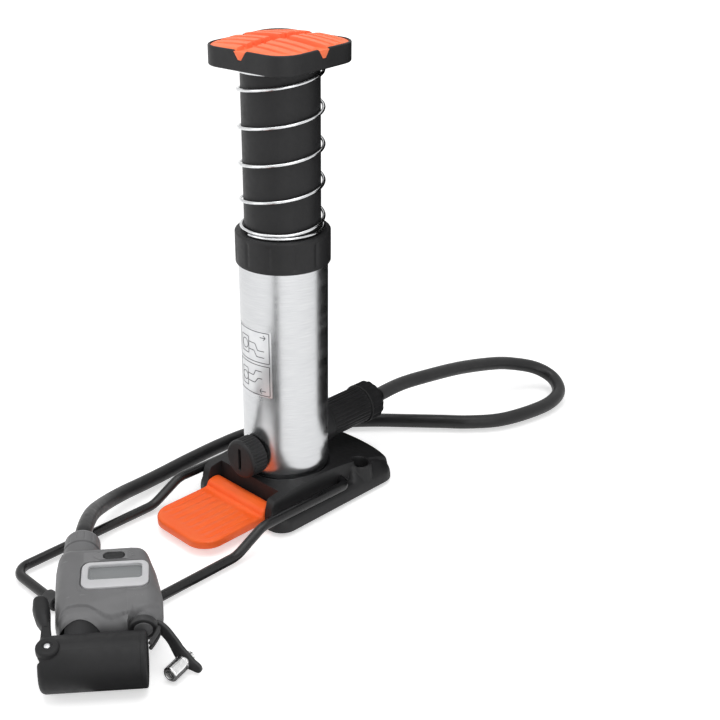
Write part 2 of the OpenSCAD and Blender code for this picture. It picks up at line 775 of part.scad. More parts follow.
module display_bezel() {
  color(pale) head_place() translate([win_x, win_y, 0]) difference() {
    translate([0, 0, head_up - 1.3]) linear_extrude(1.6) rrect(window_w + 6, window_h + 7.4, 4);
    translate([0, win_shift, 0]) linear_extrude(30) rrect(window_w, window_h, 1.6);
  }
}

module display_lens() {
  color([0.3, 0.32, 0.33, 0.5]) head_place() translate([win_x, win_y + win_shift, head_up - 1.3])
    linear_extrude(1) rrect(window_w - 2 * fit, window_h - 2 * fit, 1.6 - fit);
}

module lcd_panel() {
  color([0.5, 0.52, 0.5]) head_place() translate([win_x - 0.5, win_y + win_shift - 0.5, pcb_z + 1.2])
    linear_extrude(head_up - pcb_z - 3.3) square([window_w + 2, window_h + 3], center = true);
}

module circuit_board() {
  color([0.1, 0.32, 0.16]) head_place() difference() {
    translate([-12.5, 24.8, pcb_z]) cube([34.3, 27.2, 1.2]);
    for (p = post_pts)
      translate([p[0], p[1], 0]) cylinder(r = 1, h = 30);
  }
}

module pressure_sensor() {
  color(steel) head_place() translate([0, 0, pcb_z]) {
    translate([-4, 26, -3.5]) cube([8, 8, 3.5]);
    translate([0, 30, -5.5]) cylinder(r = 1.6, h = 3);
  }
}

module coin_cell() {
  color(steel) head_place() translate([8, 36, -9.2]) cylinder(r = 10, h = 3.2);
}

module battery_door() {
  color(grey) head_place() difference() {
    translate([8, 36, -head_down]) cylinder(r = 11.5, h = head_down - 9.2);
    translate([2, 35.2, -20]) cube([12, 1.6, 20 - head_down + 1.1]);
  }
}

module head_screws() {
  color(steel) head_place() for (p = post_pts)
    translate([p[0], p[1], 0]) difference() {
      union() {
        translate([0, 0, -6]) cylinder(r = 0.9 - fit, h = 7.2 + pcb_z);
        translate([0, 0, -7.6]) cylinder(r = 1.7, h = 1.6);
      }
      translate([-1.2, -0.25, -8]) cube([2.4, 0.5, 1]);
    }
}

module hose_barb() {
  color(brass) head_place() translate([mouth_x, 0, 0]) difference() {
    ycyl(3 - fit, 50, mouth_y - 8);
    ycyl(1.5, 40, 100);
  }
}

// ---- nozzle ----
pin_x = -18.3;
pin_y = -1.5;
boss_r = 5.2;
boss_z = 13.4;
slot_lo = 2.8;
slot_hi = 9.8;
cap_t = 2.4;

module nozzle_body() {
  color(black) head_place() difference() {
    union() {
      xcyl(noz_r, -noz_l, noz_l - cap_t);
      translate([neck_x, 0, 0]) ycyl(neck_r, 0, 24);
      translate([pin_x, pin_y, 0]) cylinder(r = boss_r, h = boss_z);
    }
    // grommet pocket and air passages
    xcyl(8.4 + fit, noz_l - cap_t - 12, 60);
    xcyl(3, -9, 40);
    translate([neck_x, 0, 0]) ycyl(3, 0, 40);
    // lever slot
    translate([-60, pin_y - 5.6, slot_lo]) cube([60 + pin_x + 5.6, 60, slot_hi - slot_lo]);
    translate([pin_x, pin_y, -4]) cylinder(r = 1.5 + fit, h = 30);
  }
}

module nozzle_cap() {
  color(black) head_place() difference() {
    translate([noz_l - cap_t, 0, 0]) rotate([0, 90, 0]) {
      cylinder(r = noz_r, h = cap_t - 0.8);
      translate([0, 0, cap_t - 0.8]) cylinder(r1 = noz_r, r2 = noz_r - 0.8, h = 0.8);
    }
    xcyl(socket_r, 0, 60);
  }
}

module nozzle_grommet() {
  color(rubber) head_place() difference() {
    xcyl(8.4, noz_l - cap_t - 12, noz_l - cap_t);
    xcyl(socket_r, 0, 60);
  }
}

module lever_pin() {
  color(steel) head_place() translate([pin_x, pin_y, -4]) cylinder(r = 1.5, h = boss_z + 4.3);
}

lev_lo = slot_lo + 0.2;
lev_hi = slot_hi - 0.2;

module lock_lever() {
  color(black) head_place() difference() {
    union() {
      translate([pin_x, pin_y, lev_lo]) cylinder(r = 4.4, h = lev_hi - lev_lo);
      translate([0, 0, lev_lo]) linear_extrude(lev_hi - lev_lo)
        polygon([[-22.4, pin_y], [-22.4, 14], [-18.6, 14], [-16.6, pin_y]]);
      translate([0, 0, 1.6]) linear_extrude(10.6)
        polygon([[-22.4, 13.5], [-25.6, 19], [-27.4, 24.5], [-27.7, 29.5], [-26.6, 31.8], [-21.4, 32],
          [-20.4, 29.5], [-19, 21], [-18.6, 13.5]]);
    }
    translate([pin_x, pin_y, -5]) cylinder(r = 1.5 + run, h = 30);
  }
}

module power_button() {
  color(black) head_place() translate([button_x, button_y, 0]) {
    translate([0, 0, head_up - 3.2]) linear_extrude(3.6) pill(9.4, 4);
    translate([0, 0, head_up - 3.2]) linear_extrude(0.6) pill(11.2, 4.8);
  }
}

// ---- strap and valve adapter, in the shared frame ----
ad_dir = unit([0.27, -0.96, 0]);
ad_turn = atan2(ad_dir[1], ad_dir[0]);
ad_pos = [79.3, -135.8, 3.9];
ad_r = 3.6;
stem_r = 2.2;
band_hi = [65.5, -139.6, 17.3];
band_lo = [86.6, -133.7, 1.9];
band_t = 2.4;

// a disc across the adapter's axis
module band_disc(p, r) {
  translate(p) rotate([0, 0, ad_turn]) xcyl(r, -band_t / 2, band_t / 2);
}

module adapter_strap() {
  color(rubber) difference() {
    union() {
      hull() {
        band_disc(band_hi, 3.2);
        band_disc(ad_pos, 3.8);
      }
      hull() {
        band_disc(ad_pos, 3.8);
        band_disc(band_lo, 1.5);
      }
      head_place() {
        // ring over the head's peg
        translate([peg_x, 0, peg_z]) ycyl(peg_r + 2.2, noz_r + 0.6, noz_r + 4.2);
        // short tongue to the nozzle's end
        hull() {
          translate([28.8, 15.3, 1]) sphere(r = 1.6, $fn = 24);
          translate([noz_l + 1.6, 0.5, 7.2]) sphere(r = 1.6, $fn = 24);
        }
      }
    }
    head_place() translate([peg_x, 0, peg_z]) ycyl(peg_r + fit, 0, 40);
    translate(ad_pos) rotate([0, 0, ad_turn]) xcyl(stem_r + run, -20, 20);
  }
}

module valve_adapter() {
  color(steel) translate(ad_pos) rotate([0, 0, ad_turn]) difference() {
    union() {
      xcyl(ad_r, band_t / 2 + 0.1, band_t / 2 + 9.6);
      translate([band_t / 2 + 9.6, 0, 0]) rotate([0, 90, 0]) cylinder(r1 = ad_r, r2 = ad_r - 0.7, h = 0.9);
      xcyl(stem_r, -band_t / 2 - 3, band_t / 2 + 0.2);
    }
    xcyl(1.2, -20, 20);
    xcyl(2.6, band_t / 2 + 4, 20);
  }
}

base_plate();
base_feet();
base_screws();
barrel_tube();
barrel_plug();
plug_o_ring();
barrel_bolt();
barrel_collar();
guide_bush();
info_label();
hose_gland();
gland_nut();
gland_barb();
hose();
tab_pin();
return_spring();
piston_tube();
piston_head();
piston_seal();
tube_plug();
pedal_shell();
pedal_pad();
pedal_screw();
valve_cap();
cap_o_ring();
foot_tab();
wire_stand();
stand_sleeve();
head_upper();
head_lower();
display_bezel();
display_lens();
lcd_panel();
circuit_board();
pressure_sensor();
coin_cell();
battery_door();
head_screws();
hose_barb();
nozzle_body();
nozzle_cap();
nozzle_grommet();
lever_pin();
lock_lever();
power_button();
adapter_strap();
valve_adapter();
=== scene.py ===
import json
import math

import bmesh
import bpy
import numpy as np
from mathutils import Matrix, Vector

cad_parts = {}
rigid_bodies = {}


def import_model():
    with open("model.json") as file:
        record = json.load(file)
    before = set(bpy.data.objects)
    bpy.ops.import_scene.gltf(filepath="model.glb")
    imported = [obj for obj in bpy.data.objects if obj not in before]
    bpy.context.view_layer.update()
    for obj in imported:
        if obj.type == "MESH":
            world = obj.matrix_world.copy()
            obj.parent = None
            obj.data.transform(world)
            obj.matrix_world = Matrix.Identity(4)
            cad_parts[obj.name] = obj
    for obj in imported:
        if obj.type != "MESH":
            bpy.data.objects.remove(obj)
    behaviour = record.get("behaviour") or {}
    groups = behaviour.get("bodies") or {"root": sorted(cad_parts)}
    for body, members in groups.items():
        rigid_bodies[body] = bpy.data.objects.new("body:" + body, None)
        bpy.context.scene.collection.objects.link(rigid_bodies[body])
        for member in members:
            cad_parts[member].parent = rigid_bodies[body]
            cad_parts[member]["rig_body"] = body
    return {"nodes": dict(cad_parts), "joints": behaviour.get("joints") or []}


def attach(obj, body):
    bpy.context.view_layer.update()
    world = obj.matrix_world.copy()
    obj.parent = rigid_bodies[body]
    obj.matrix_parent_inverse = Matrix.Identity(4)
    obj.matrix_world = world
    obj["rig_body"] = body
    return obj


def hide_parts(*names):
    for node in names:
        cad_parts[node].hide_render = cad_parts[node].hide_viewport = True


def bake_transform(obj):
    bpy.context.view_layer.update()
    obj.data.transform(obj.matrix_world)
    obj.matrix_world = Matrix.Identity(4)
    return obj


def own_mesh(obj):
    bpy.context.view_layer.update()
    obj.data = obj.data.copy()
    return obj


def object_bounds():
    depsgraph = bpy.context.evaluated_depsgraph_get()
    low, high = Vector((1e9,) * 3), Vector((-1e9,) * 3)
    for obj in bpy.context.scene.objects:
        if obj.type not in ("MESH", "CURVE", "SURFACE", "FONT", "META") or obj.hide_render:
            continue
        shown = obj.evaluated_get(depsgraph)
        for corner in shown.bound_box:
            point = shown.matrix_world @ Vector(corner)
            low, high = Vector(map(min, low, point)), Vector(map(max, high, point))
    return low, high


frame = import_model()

# Looks of the compact foot pump. Shapes are worked out in millimetres in the shared frame (+Z up, origin on
# the barrel's axis at floor level) and become metres when a mesh is made.
MM = 0.001
CAD_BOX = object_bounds()

# Distances, in metres, at which points are one, and angles in degrees: an edge that turns more than SHARP
# stays crisp, one under FLAT_ANGLE is dissolved, and one over BEVEL_ANGLE is rounded.
MERGE, CAD_MERGE = 1e-7, 2e-6
SHARP, FLAT_ANGLE, BEVEL_ANGLE = 35, 1.0, 32


# ---------------------------------------------------------------- small maths

def unit(v):
    """v divided by its length, along the last axis."""
    v = np.asarray(v, float)
    return v / np.maximum(np.linalg.norm(v, axis=-1, keepdims=True), 1e-12)


def smooth(t):
    """The step 3t^2 - 2t^3 of t held between 0 and 1."""
    t = np.clip(t, 0, 1)
    return t * t * (3 - 2 * t)


def soft(corners, closed=False, steps=6):
    """Rounds a polyline: corners are (point..., fillet). Each corner becomes an arc of its fillet radius that
    touches both neighbours' lines, held to half of the shorter one."""
    c = np.array(corners, float)
    p, f = c[:, :-1], c[:, -1]
    out = []
    for i in range(len(p)):
        if not closed and i in (0, len(p) - 1) or f[i] <= 0:
            out.append(p[i][None])
            continue
        a, b = p[i - 1] - p[i], p[(i + 1) % len(p)] - p[i]
        la, lb = np.linalg.norm(a), np.linalg.norm(b)
        a, b = a / la, b / lb
        half = math.acos(np.clip(a @ b, -0.999999, 0.999999)) / 2
        reach = min(f[i] / math.tan(half), 0.49 * la, 0.49 * lb)
        r = reach * math.tan(half)
        centre = p[i] + unit(a + b) * r / math.sin(half)
        u, v = p[i] + a * reach - centre, p[i] + b * reach - centre
        w = math.pi - 2 * half
        t = np.linspace(0, 1, steps + 1)[:, None]
        out.append(centre + (u * np.sin((1 - t) * w) + v * np.sin(t * w)) / math.sin(w))
    return np.concatenate(out)


def resampled(p, n, closed=False):
    """n points evenly spaced along the polyline p."""
    q = np.vstack([p, p[:1]]) if closed else p
    s = np.concatenate([[0], np.cumsum(np.linalg.norm(np.diff(q, axis=0), axis=1))])
    t = np.linspace(0, s[-1], n + 1)[:-1] if closed else np.linspace(0, s[-1], n)
    return np.stack([np.interp(t, s, q[:, k]) for k in range(q.shape[1])], 1)


def arc(centre, r, a0, a1, n):
    """n + 1 points on a circle from angle a0 to a1, in degrees."""
    a = np.radians(np.linspace(a0, a1, n + 1))
    return np.stack([centre[0] + r * np.cos(a), centre[1] + r * np.sin(a)], 1)


def curve_through(points, per_span):
    """Catmull-Rom curve through points, with per_span steps between neighbours."""
    p = np.asarray(points, float)
    q = np.vstack([p[:1], p, p[-1:]])
    t = np.arange(per_span)[:, None] / per_span
    spans = [0.5 * (2 * b + (c - a) * t + (2 * a - 5 * b + 4 * c - d) * t ** 2 + (3 * b - a - 3 * c + d)
                    * t ** 3)
             for a, b, c, d in zip(q[:-3], q[1:-2], q[2:-1], q[3:])]
    return np.vstack(spans + [p[-1:]])


# ---------------------------------------------------------------- surfaces: (points, faces) in millimetres

def grid(points, wrap_u=False, wrap_v=False):
    """A sheet of nu by nv points: each cell is a face, and a wrapped way joins its end to its start."""
    nu, nv = points.shape[:2]
    i, j = np.meshgrid(np.arange(nu - (not wrap_u)), np.arange(nv - (not wrap_v)), indexing="ij")
    i, j = i.ravel(), j.ravel()
    k, m = (i + 1) % nu, (j + 1) % nv
    faces = np.stack([i * nv + j, k * nv + j, k * nv + m, i * nv + m], 1)
    return points.reshape(-1, 3), faces.tolist()


def capped(points):
    """A stack of closed rings (layers, around, 3), with a flat face on the first and the last ring."""
    pts, faces = grid(points, wrap_v=True)
    n, last = points.shape[1], (points.shape[0] - 1) * points.shape[1]
    return pts, faces + [list(range(n))[::-1], [last + k for k in range(n)]]


def turned(profile, n=96, shape=None, closed=False):
    """The profile (radius, height) turned about Z. shape(angle, radius, height) may change the radius. A
    closed profile is a wall with a hole; an open one starts and ends on the axis or gets a flat face
    there."""
    a = np.linspace(0, 2 * math.pi, n, endpoint=False)[None, :]
    r, z = profile[:, :1], profile[:, 1:2]
    radius = np.broadcast_to(r if shape is None else shape(a, r, z), (len(profile), n))
    pts = np.stack([radius * np.cos(a), radius * np.sin(a), np.broadcast_to(z, radius.shape)], 2)
    return grid(pts, wrap_u=True, wrap_v=True) if closed else capped(pts)


def turn_to(part, origin, z_axis, x_axis=(1, 0, 0)):
    """Moves a part made about Z to an origin, with its Z along z_axis and its X near x_axis."""
    z = unit(z_axis)
    y = unit(np.cross(z, x_axis))
    basis = np.stack([np.cross(y, z), y, z])
    return part[0] @ basis + np.asarray(origin, float), part[1]


def inward(outline):
    """The unit normals of a closed outline (n, 2), pointing in."""
    after, before = np.roll(outline, -1, 0), np.roll(outline, 1, 0)
    d = after - before
    turn = np.sign(np.sum(outline[:, 0] * after[:, 1] - outline[:, 1] * after[:, 0]))
    return turn * unit(np.stack([-d[:, 1], d[:, 0]], 1))


def inset(outline, e):
    """A closed outline moved in by e along its own normals."""
    return outline + e * inward(outline)


def ring_at(outline, z):
    """A closed outline at height z."""
    return np.column_stack([outline, np.full(len(outline), float(z))])


def layered(outline, layers):
    """A closed outline carried up through layers (inset, height), with flat faces that close both ends."""
    return capped(np.stack([ring_at(inset(outline, e), z) for e, z in layers]))


def edge_round(low, high, r, steps=5):
    """Layers (inset, height) of a solid from low to high whose two rims are rounded by r."""
    a = np.linspace(0, math.pi / 2, steps + 1)
    bottom = [(r * (1 - math.sin(t)), low + r * (1 - math.cos(t))) for t in a]
    top = [(r * (1 - math.cos(t)), high - r * (1 - math.sin(t))) for t in a]
    return bottom + top


def rounded_box(w, d, r, steps=8):
    """Outline of a w by d rectangle about the origin with corners of radius r, counter-clockwise."""
    x, y = w / 2 - r, d / 2 - r
    return np.vstack([arc((x, -y), r, -90, 0, steps), arc((x, y), r, 0, 90, steps),
                      arc((-x, y), r, 90, 180, steps), arc((-x, -y), r, 180, 270, steps)])


def ring_section(n):
    """n points round a circle of radius 1."""
    a = np.linspace(0, 2 * math.pi, n, endpoint=False)
    return np.stack([np.cos(a), np.sin(a)], 1)


def swept(path, section, up=(0, 0, 1), size=None):
    """A closed section (n, 2) carried along a path (m, 3), across and along up. size (m, 2) scales it at each
    point; flat faces close both ends."""
    t = unit(np.gradient(path, axis=0))
    side = unit(np.cross(t, np.broadcast_to(up, t.shape)))
    above = np.cross(side, t)
    k = np.ones((len(path), 2)) if size is None else np.asarray(size, float)
    s = section[None, :, :] * k[:, None, :]
    return capped(path[:, None, :] + s[:, :, :1] * side[:, None, :] + s[:, :, 1:] * above[:, None, :])


def round_rod(path, r, n=24, up=(0, 0, 1)):
    """A round rod along a path whose two ends are half balls: the last rings shrink along a quarter
    circle."""
    a = np.linspace(0.12, math.pi / 2, 6)
    d0, d1 = unit(path[1] - path[0]), unit(path[-1] - path[-2])
    head = [path[0] + d0 * r * (1 - math.cos(t)) for t in a[:-1]]
    tail = [path[-1] - d1 * r * (1 - math.cos(t)) for t in a[:-1][::-1]]
    middle = [p for p in path if (p - head[-1]) @ d0 > 0.2 * r or np.linalg.norm(p - path[0]) > 4 * r]
    middle = [p for p in middle if (tail[0] - p) @ d1 > 0.2 * r or np.linalg.norm(p - path[-1]) > 4 * r]
    size = [math.sin(t) for t in a[:-1]]
    scale = size + [1.0] * len(middle) + size[::-1]
    return swept(np.array(head + middle + tail), ring_section(n) * r, up, np.array(scale)[:, None] * [[1, 1]])


# ---------------------------------------------------------------- making pieces

def new_object(name, data):
    """An object of the scene that holds data."""
    obj = bpy.data.objects.new(name, data)
    bpy.context.scene.collection.objects.link(obj)
    return obj


def piece(name, parts, material, body, replaces=(), sharp=SHARP):
    """One mesh from a list of parts. Equal points are merged, faces turned outwards, and edges that turn more
    than sharp degrees stay crisp. It rides on a body and stands for the CAD nodes that it replaces."""
    points, faces, start = [], [], 0
    for pts, fcs in parts:
        points.append(np.asarray(pts, float))
        faces += [[start + i for i in f] for f in fcs]
        start += len(pts)
    mesh = bpy.data.meshes.new(name)
    mesh.from_pydata((np.vstack(points) * MM).tolist(), [], faces)
    obj = new_object(name, mesh)
    tidy(mesh, sharp)
    mesh.materials.append(material)
    if body:
        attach(obj, body)
    if replaces:
        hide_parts(*replaces)
    return obj


def shaded(bm, mesh, sharp):
    """Writes the working mesh back, smooth but for the edges that turn more than sharp degrees."""
    bm.to_mesh(mesh)
    bm.free()
    mesh.shade_smooth()
    mesh.set_sharp_from_angle(angle=math.radians(sharp))


def tidy(mesh, sharp):
    """Merges doubles, drops faces with no area, turns faces outwards and sets smooth shading."""
    bm = bmesh.new()
    bm.from_mesh(mesh)
    bmesh.ops.remove_doubles(bm, verts=bm.verts, dist=MERGE)
    bmesh.ops.dissolve_degenerate(bm, edges=bm.edges, dist=MERGE)
    bmesh.ops.recalc_face_normals(bm, faces=bm.faces)
    shaded(bm, mesh, sharp)


def softened(node, bevel, material):
    """A copy of a CAD node with merged points, flat faces joined, and every edge that turns more than
    BEVEL_ANGLE degrees rounded by bevel millimetres. Large faces decide the shading of the small ones."""
    source = frame["nodes"][node]
    mesh = source.data.copy()
    obj = new_object(node + "_skin", mesh)
    bm = bmesh.new()
    bm.from_mesh(mesh)
    bmesh.ops.remove_doubles(bm, verts=bm.verts, dist=CAD_MERGE)
    bmesh.ops.dissolve_limit(bm, angle_limit=math.radians(FLAT_ANGLE), verts=bm.verts, edges=bm.edges)
    edges = [e for e in bm.edges if len(e.link_faces) == 2
             and e.calc_face_angle(0) > math.radians(BEVEL_ANGLE)]
    bmesh.ops.bevel(bm, geom=edges, offset=bevel * MM, segments=3, profile=0.5, affect="EDGES",
                    clamp_overlap=True, harden_normals=False)
    shaded(bm, mesh, SHARP)
    mesh.materials.clear()
    mesh.materials.append(material)
    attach(obj, source["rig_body"])
    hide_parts(node)
    obj.modifiers.new("even_shading", "WEIGHTED_NORMAL").keep_sharp = True


# ---------------------------------------------------------------- materials

def linear(hex_colour):
    """An sRGB hex colour as linear RGBA."""
    c = np.array([int(hex_colour[i:i + 2], 16) for i in (1, 3, 5)]) / 255
    c = np.where(c <= 0.04045, c / 12.92, ((c + 0.055) / 1.055) ** 2.4)
    return (*c.tolist(), 1.0)


def add(tree, kind, ins=None, **settings):
    """Adds one shader node: settings are its properties, ins its inputs as values or as links from
    sockets."""
    node = tree.nodes.new(kind)
    for key, value in settings.items():
        setattr(node, key, value)
    for key, value in (ins or {}).items():
        if isinstance(value, bpy.types.NodeSocket):
            tree.links.new(value, node.inputs[key])
        else:
            node.inputs[key].default_value = value
    return node


def new_material(name):
    """An empty node material with its output, and the object's own coordinates in metres."""
    m = bpy.data.materials.new(name)
    m.use_nodes = True
    t = m.node_tree
    t.nodes.clear()
    out = add(t, "ShaderNodeOutputMaterial")
    where = add(t, "ShaderNodeTexCoord").outputs["Object"]
    return m, t, out, where


def stretched(t, where, scale):
    """Coordinates multiplied by scale (x, y, z), which stretches a pattern along the small ones."""
    return add(t, "ShaderNodeMapping", {"Vector": where, "Scale": scale}).outputs["Vector"]


def grains(t, where, size_mm, detail=2.0, rough=0.5):
    """Noise whose blobs are about size_mm across."""
    return add(t, "ShaderNodeTexNoise", {"Vector": where, "Scale": 1 / (size_mm * MM), "Detail": detail,
                                        "Roughness": rough}).outputs["Fac"]


def ranged(t, value, low, high, from_low=0.3, from_high=0.7):
    """Maps a noise value from its middle range to low..high."""
    return add(t, "ShaderNodeMapRange", {"Value": value, "From Min": from_low, "From Max": from_high,
                                        "To Min": low, "To Max": high}).outputs["Result"]


def mixed(t, factor, a, b):
    """A colour between a and b."""
    return add(t, "ShaderNodeMix", {"Factor": factor, "A": a, "B": b}, data_type="RGBA").outputs["Result"]


def bumped(t, height, depth_mm, strength=1.0, under=None):
    """A bump of depth_mm from a height between 0 and 1, over another bump if given."""
    ins = {"Height": height, "Distance": depth_mm * MM, "Strength": strength}
    if under is not None:
        ins["Normal"] = under
    return add(t, "ShaderNodeBump", ins).outputs["Normal"]


def worn(t, colour, edge_colour, amount):
    """Lighter colour on raised edges, from the surface's own pointiness."""
    point = add(t, "ShaderNodeNewGeometry").outputs["Pointiness"]
    edge = add(t, "ShaderNodeMapRange", {"Value": point, "From Min": 0.52, "From Max": 0.62, "To Min": 0.0,
                                         "To Max": amount}).outputs["Result"]
    return mixed(t, edge, colour, edge_colour)


def between(t, pattern, dark, light):
    """A colour that goes from dark to light with a noise value."""
    return mixed(t, ranged(t, pattern, 0, 1), linear(dark), linear(light))


def surfaced(m, t, out, ins):
    """Ends a material in one surface."""
    shader = add(t, "ShaderNodeBsdfPrincipled", ins)
    t.links.new(shader.outputs[0], out.inputs["Surface"])
    return m


def moulded(name, dark, light, rough, grain_mm=0.35, depth_mm=0.012, edge="#5A5A5C", wear=0.25, gloss=0.35):
    """Injection moulded plastic: even colour with a faint cloudiness, fine spark-eroded grain, and edges that
    handling has polished a little lighter."""
    m, t, out, where = new_material(name)
    colour = worn(t, between(t, grains(t, where, 14, 3), dark, light), linear(edge), wear)
    roughness = ranged(t, grains(t, where, 2.5, 3), rough - 0.05, rough + 0.06)
    normal = bumped(t, grains(t, where, grain_mm, 2), depth_mm, 0.6)
    return surfaced(m, t, out, {"Base Color": colour, "Roughness": roughness, "IOR": 1.5,
                                "Specular IOR Level": gloss, "Normal": normal})


def moulded_rubber(name, dark, light, rough, grain_mm=0.5, sheen=0.15):
    """Moulded rubber: dull, with a faint cloudiness a few mm across, and a soft sheen at grazing angles."""
    m, t, out, where = new_material(name)
    colour = between(t, grains(t, where, 6, 4), dark, light)
    roughness = ranged(t, grains(t, where, 1.5, 3), rough - 0.06, rough + 0.08)
    normal = bumped(t, grains(t, where, grain_mm, 3), 0.015, 0.6)
    return surfaced(m, t, out, {"Base Color": colour, "Roughness": roughness, "IOR": 1.52, "Normal": normal,
                                "Sheen Weight": sheen, "Sheen Roughness": 0.5})


def hose_rubber():
    """Extruded nitrile hose: satin black, faint rings left by the haul-off every 0.8 mm and long soft
    streaks."""
    m, t, out, where = new_material("extruded_nitrile_hose")
    colour = between(t, grains(t, where, 9, 4), "#151516", "#1D1D1E")
    roughness = ranged(t, grains(t, where, 3, 3), 0.36, 0.5)
    normal = bumped(t, grains(t, where, 0.8, 2), 0.02, 0.5)
    return surfaced(m, t, out, {"Base Color": colour, "Roughness": roughness, "IOR": 1.5,
                                "Specular IOR Level": 0.35, "Normal": normal})


def brushed_aluminium():
    """Drawn aluminium tube, brushed round its girth: hair lines 0.15 mm apart, drawn 0.4 mm apart so that
    they show, which pull reflections out into upright bands."""
    m, t, out, where = new_material("brushed_aluminium_tube")
    lines = grains(t, stretched(t, where, (0.04, 0.04, 1)), 0.4, 3, 0.7)
    broad = grains(t, stretched(t, where, (0.15, 0.15, 1)), 5, 2)
    colour = between(t, lines, "#BEBFC1", "#CBCCCD")
    roughness = ranged(t, broad, 0.2, 0.27)
    normal = bumped(t, lines, 0.0015, 0.4)
    around = add(t, "ShaderNodeTangent", direction_type="RADIAL", axis="Z").outputs["Tangent"]
    return surfaced(m, t, out, {"Base Color": colour, "Metallic": 1.0, "Roughness": roughness,
                                "Normal": normal, "Anisotropic": 0.6, "Tangent": around})


def plated_steel(name, dark, light, rough):
    """Nickel plated steel: bright, with fine drawing marks and a slight haze that varies over a few mm."""
    m, t, out, where = new_material(name)
    marks = grains(t, where, 0.6, 3)
    colour = between(t, grains(t, where, 4, 3), dark, light)
    roughness = ranged(t, marks, rough - 0.04, rough + 0.06)
    return surfaced(m, t, out, {"Base Color": colour, "Metallic": 1.0, "Roughness": roughness,
                                "Normal": bumped(t, marks, 0.003, 0.4)})


def powder_coat():
    """Gloss black powder coat on steel rod: a clear smooth skin with a faint orange peel 3 mm across."""
    m, t, out, where = new_material("gloss_black_powder_coat")
    colour = between(t, grains(t, where, 10, 2), "#131314", "#1A1A1B")
    normal = bumped(t, grains(t, where, 3, 0), 0.006, 0.25)
    roughness = ranged(t, grains(t, where, 5, 3), 0.24, 0.34)
    return surfaced(m, t, out, {"Base Color": colour, "Roughness": roughness, "IOR": 1.5,
                                "Specular IOR Level": 0.3, "Normal": normal, "Coat Weight": 0.12,
                                "Coat Roughness": 0.15})


def clear_window():
    """Polished acrylic window: clear with a faint smoky tint."""
    m, t, out, where = new_material("polished_acrylic_window")
    roughness = ranged(t, grains(t, where, 3, 2), 0.02, 0.05)
    return surfaced(m, t, out, {"Base Color": linear("#DDE0E2"), "Roughness": roughness, "IOR": 1.49,
                                "Transmission Weight": 0.0, "Alpha": 0.14})


def display_glass():
    """Reflective liquid crystal cell: grey-green, slightly cloudy, with a satin front polariser."""
    m, t, out, where = new_material("liquid_crystal_cell")
    colour = between(t, grains(t, where, 7, 3), "#464949", "#505353")
    roughness = ranged(t, grains(t, where, 0.5, 2), 0.28, 0.38)
    return surfaced(m, t, out, {"Base Color": colour, "Roughness": roughness, "IOR": 1.5})


def solder_mask():
    """Green solder mask over copper tracks 1 mm wide."""
    m, t, out, where = new_material("green_solder_mask")
    tracks = add(t, "ShaderNodeTexVoronoi", {"Vector": where, "Scale": 400.0}, feature="DISTANCE_TO_EDGE")
    line = ranged(t, tracks.outputs["Distance"], 1, 0, 0.02, 0.08)
    colour = mixed(t, line, linear("#1F5A34"), linear("#2F7A48"))
    return surfaced(m, t, out, {"Base Color": colour, "Roughness": 0.35, "IOR": 1.5})


NYLON = moulded("black_moulded_nylon", "#1B1B1C", "#212122", 0.5, edge="#4A4A4C", wear=0.2, gloss=0.28)
NOZZLE = moulded("black_moulded_nozzle_nylon", "#1C1C1D", "#222223", 0.52, 0.5, 0.02, "#4A4A4C", 0.2, 0.22)
TUBE_BLACK = moulded("black_anodised_tube", "#1B1B1C", "#202021", 0.5, 0.6, 0.01, wear=0.1, gloss=0.24)
SHELL = moulded("grey_moulded_abs", "#676768", "#6E6E6F", 0.5, 0.4, 0.015, "#8C8C8D", 0.3)
BEZEL = moulded("light_grey_moulded_abs", "#C0C0C2", "#C8C8CA", 0.42, 0.5, 0.006, "#DADADC", 0.3)
TAB_ORANGE = moulded("orange_moulded_nylon", "#FF6220", "#FF6C2C", 0.42, 0.6, 0.01, "#FF8550", 0.3)
ACETAL = moulded("natural_acetal", "#C9C8C2", "#D4D3CD", 0.4)
PAD_ORANGE = moulded_rubber("orange_moulded_rubber", "#FF7242", "#FF7C4C", 0.55, sheen=0.05)
RUBBER = moulded_rubber("black_moulded_rubber", "#1C1C1D", "#232324", 0.58, sheen=0.05)
HOSE_RUBBER = hose_rubber()
ALUMINIUM = brushed_aluminium()
SPRING_STEEL = plated_steel("nickel_plated_spring_wire", "#C4C5C7", "#DCDDDE", 0.18)
STEEL = plated_steel("zinc_plated_steel", "#B4B5B8", "#CDCED0", 0.28)
PLATED = plated_steel("nickel_plated_brass", "#D6D6D6", "#ECECEC", 0.2)
BRASS = plated_steel("turned_brass", "#B98F4A", "#CFA65E", 0.25)
BLACK_STEEL = plated_steel("black_zinc_steel", "#232325", "#2E2E30", 0.35)
COAT = powder_coat()
WINDOW = clear_window()
LCD = display_glass()
BOARD = solder_mask()
INK = moulded("dark_grey_print", "#4A4B4F", "#525357", 0.5, wear=0.0)
FILM = plated_steel("matt_silver_film", "#CBCCCE", "#D3D4D5", 0.34)


# ---------------------------------------------------------------- places and small piece helpers

JOINTS = {j["name"]: j for j in frame["joints"]}


def point(p):
    """A place from the record, in millimetres."""
    return np.array(p, float) / MM


# The gauge head's own frame: U along the nozzle, V towards the hose, W out of the display. The hose's mouth
# is the place where the head turns, 8.7 mm to the left of the frame's origin and 76 mm up V.
U = -unit(JOINTS["head_lift"]["axis"])
W = unit(JOINTS["lever_flip"]["axis"])
V = np.cross(W, U)
MOUTH = point(JOINTS["head_lift"]["pos_m"])
HEAD = MOUTH + 8.7 * U - 76 * V


def in_head(part):
    """Moves a part from the gauge head's own frame to the shared one."""
    return np.asarray(part[0], float) @ np.stack([U, V, W]) + HEAD, part[1]


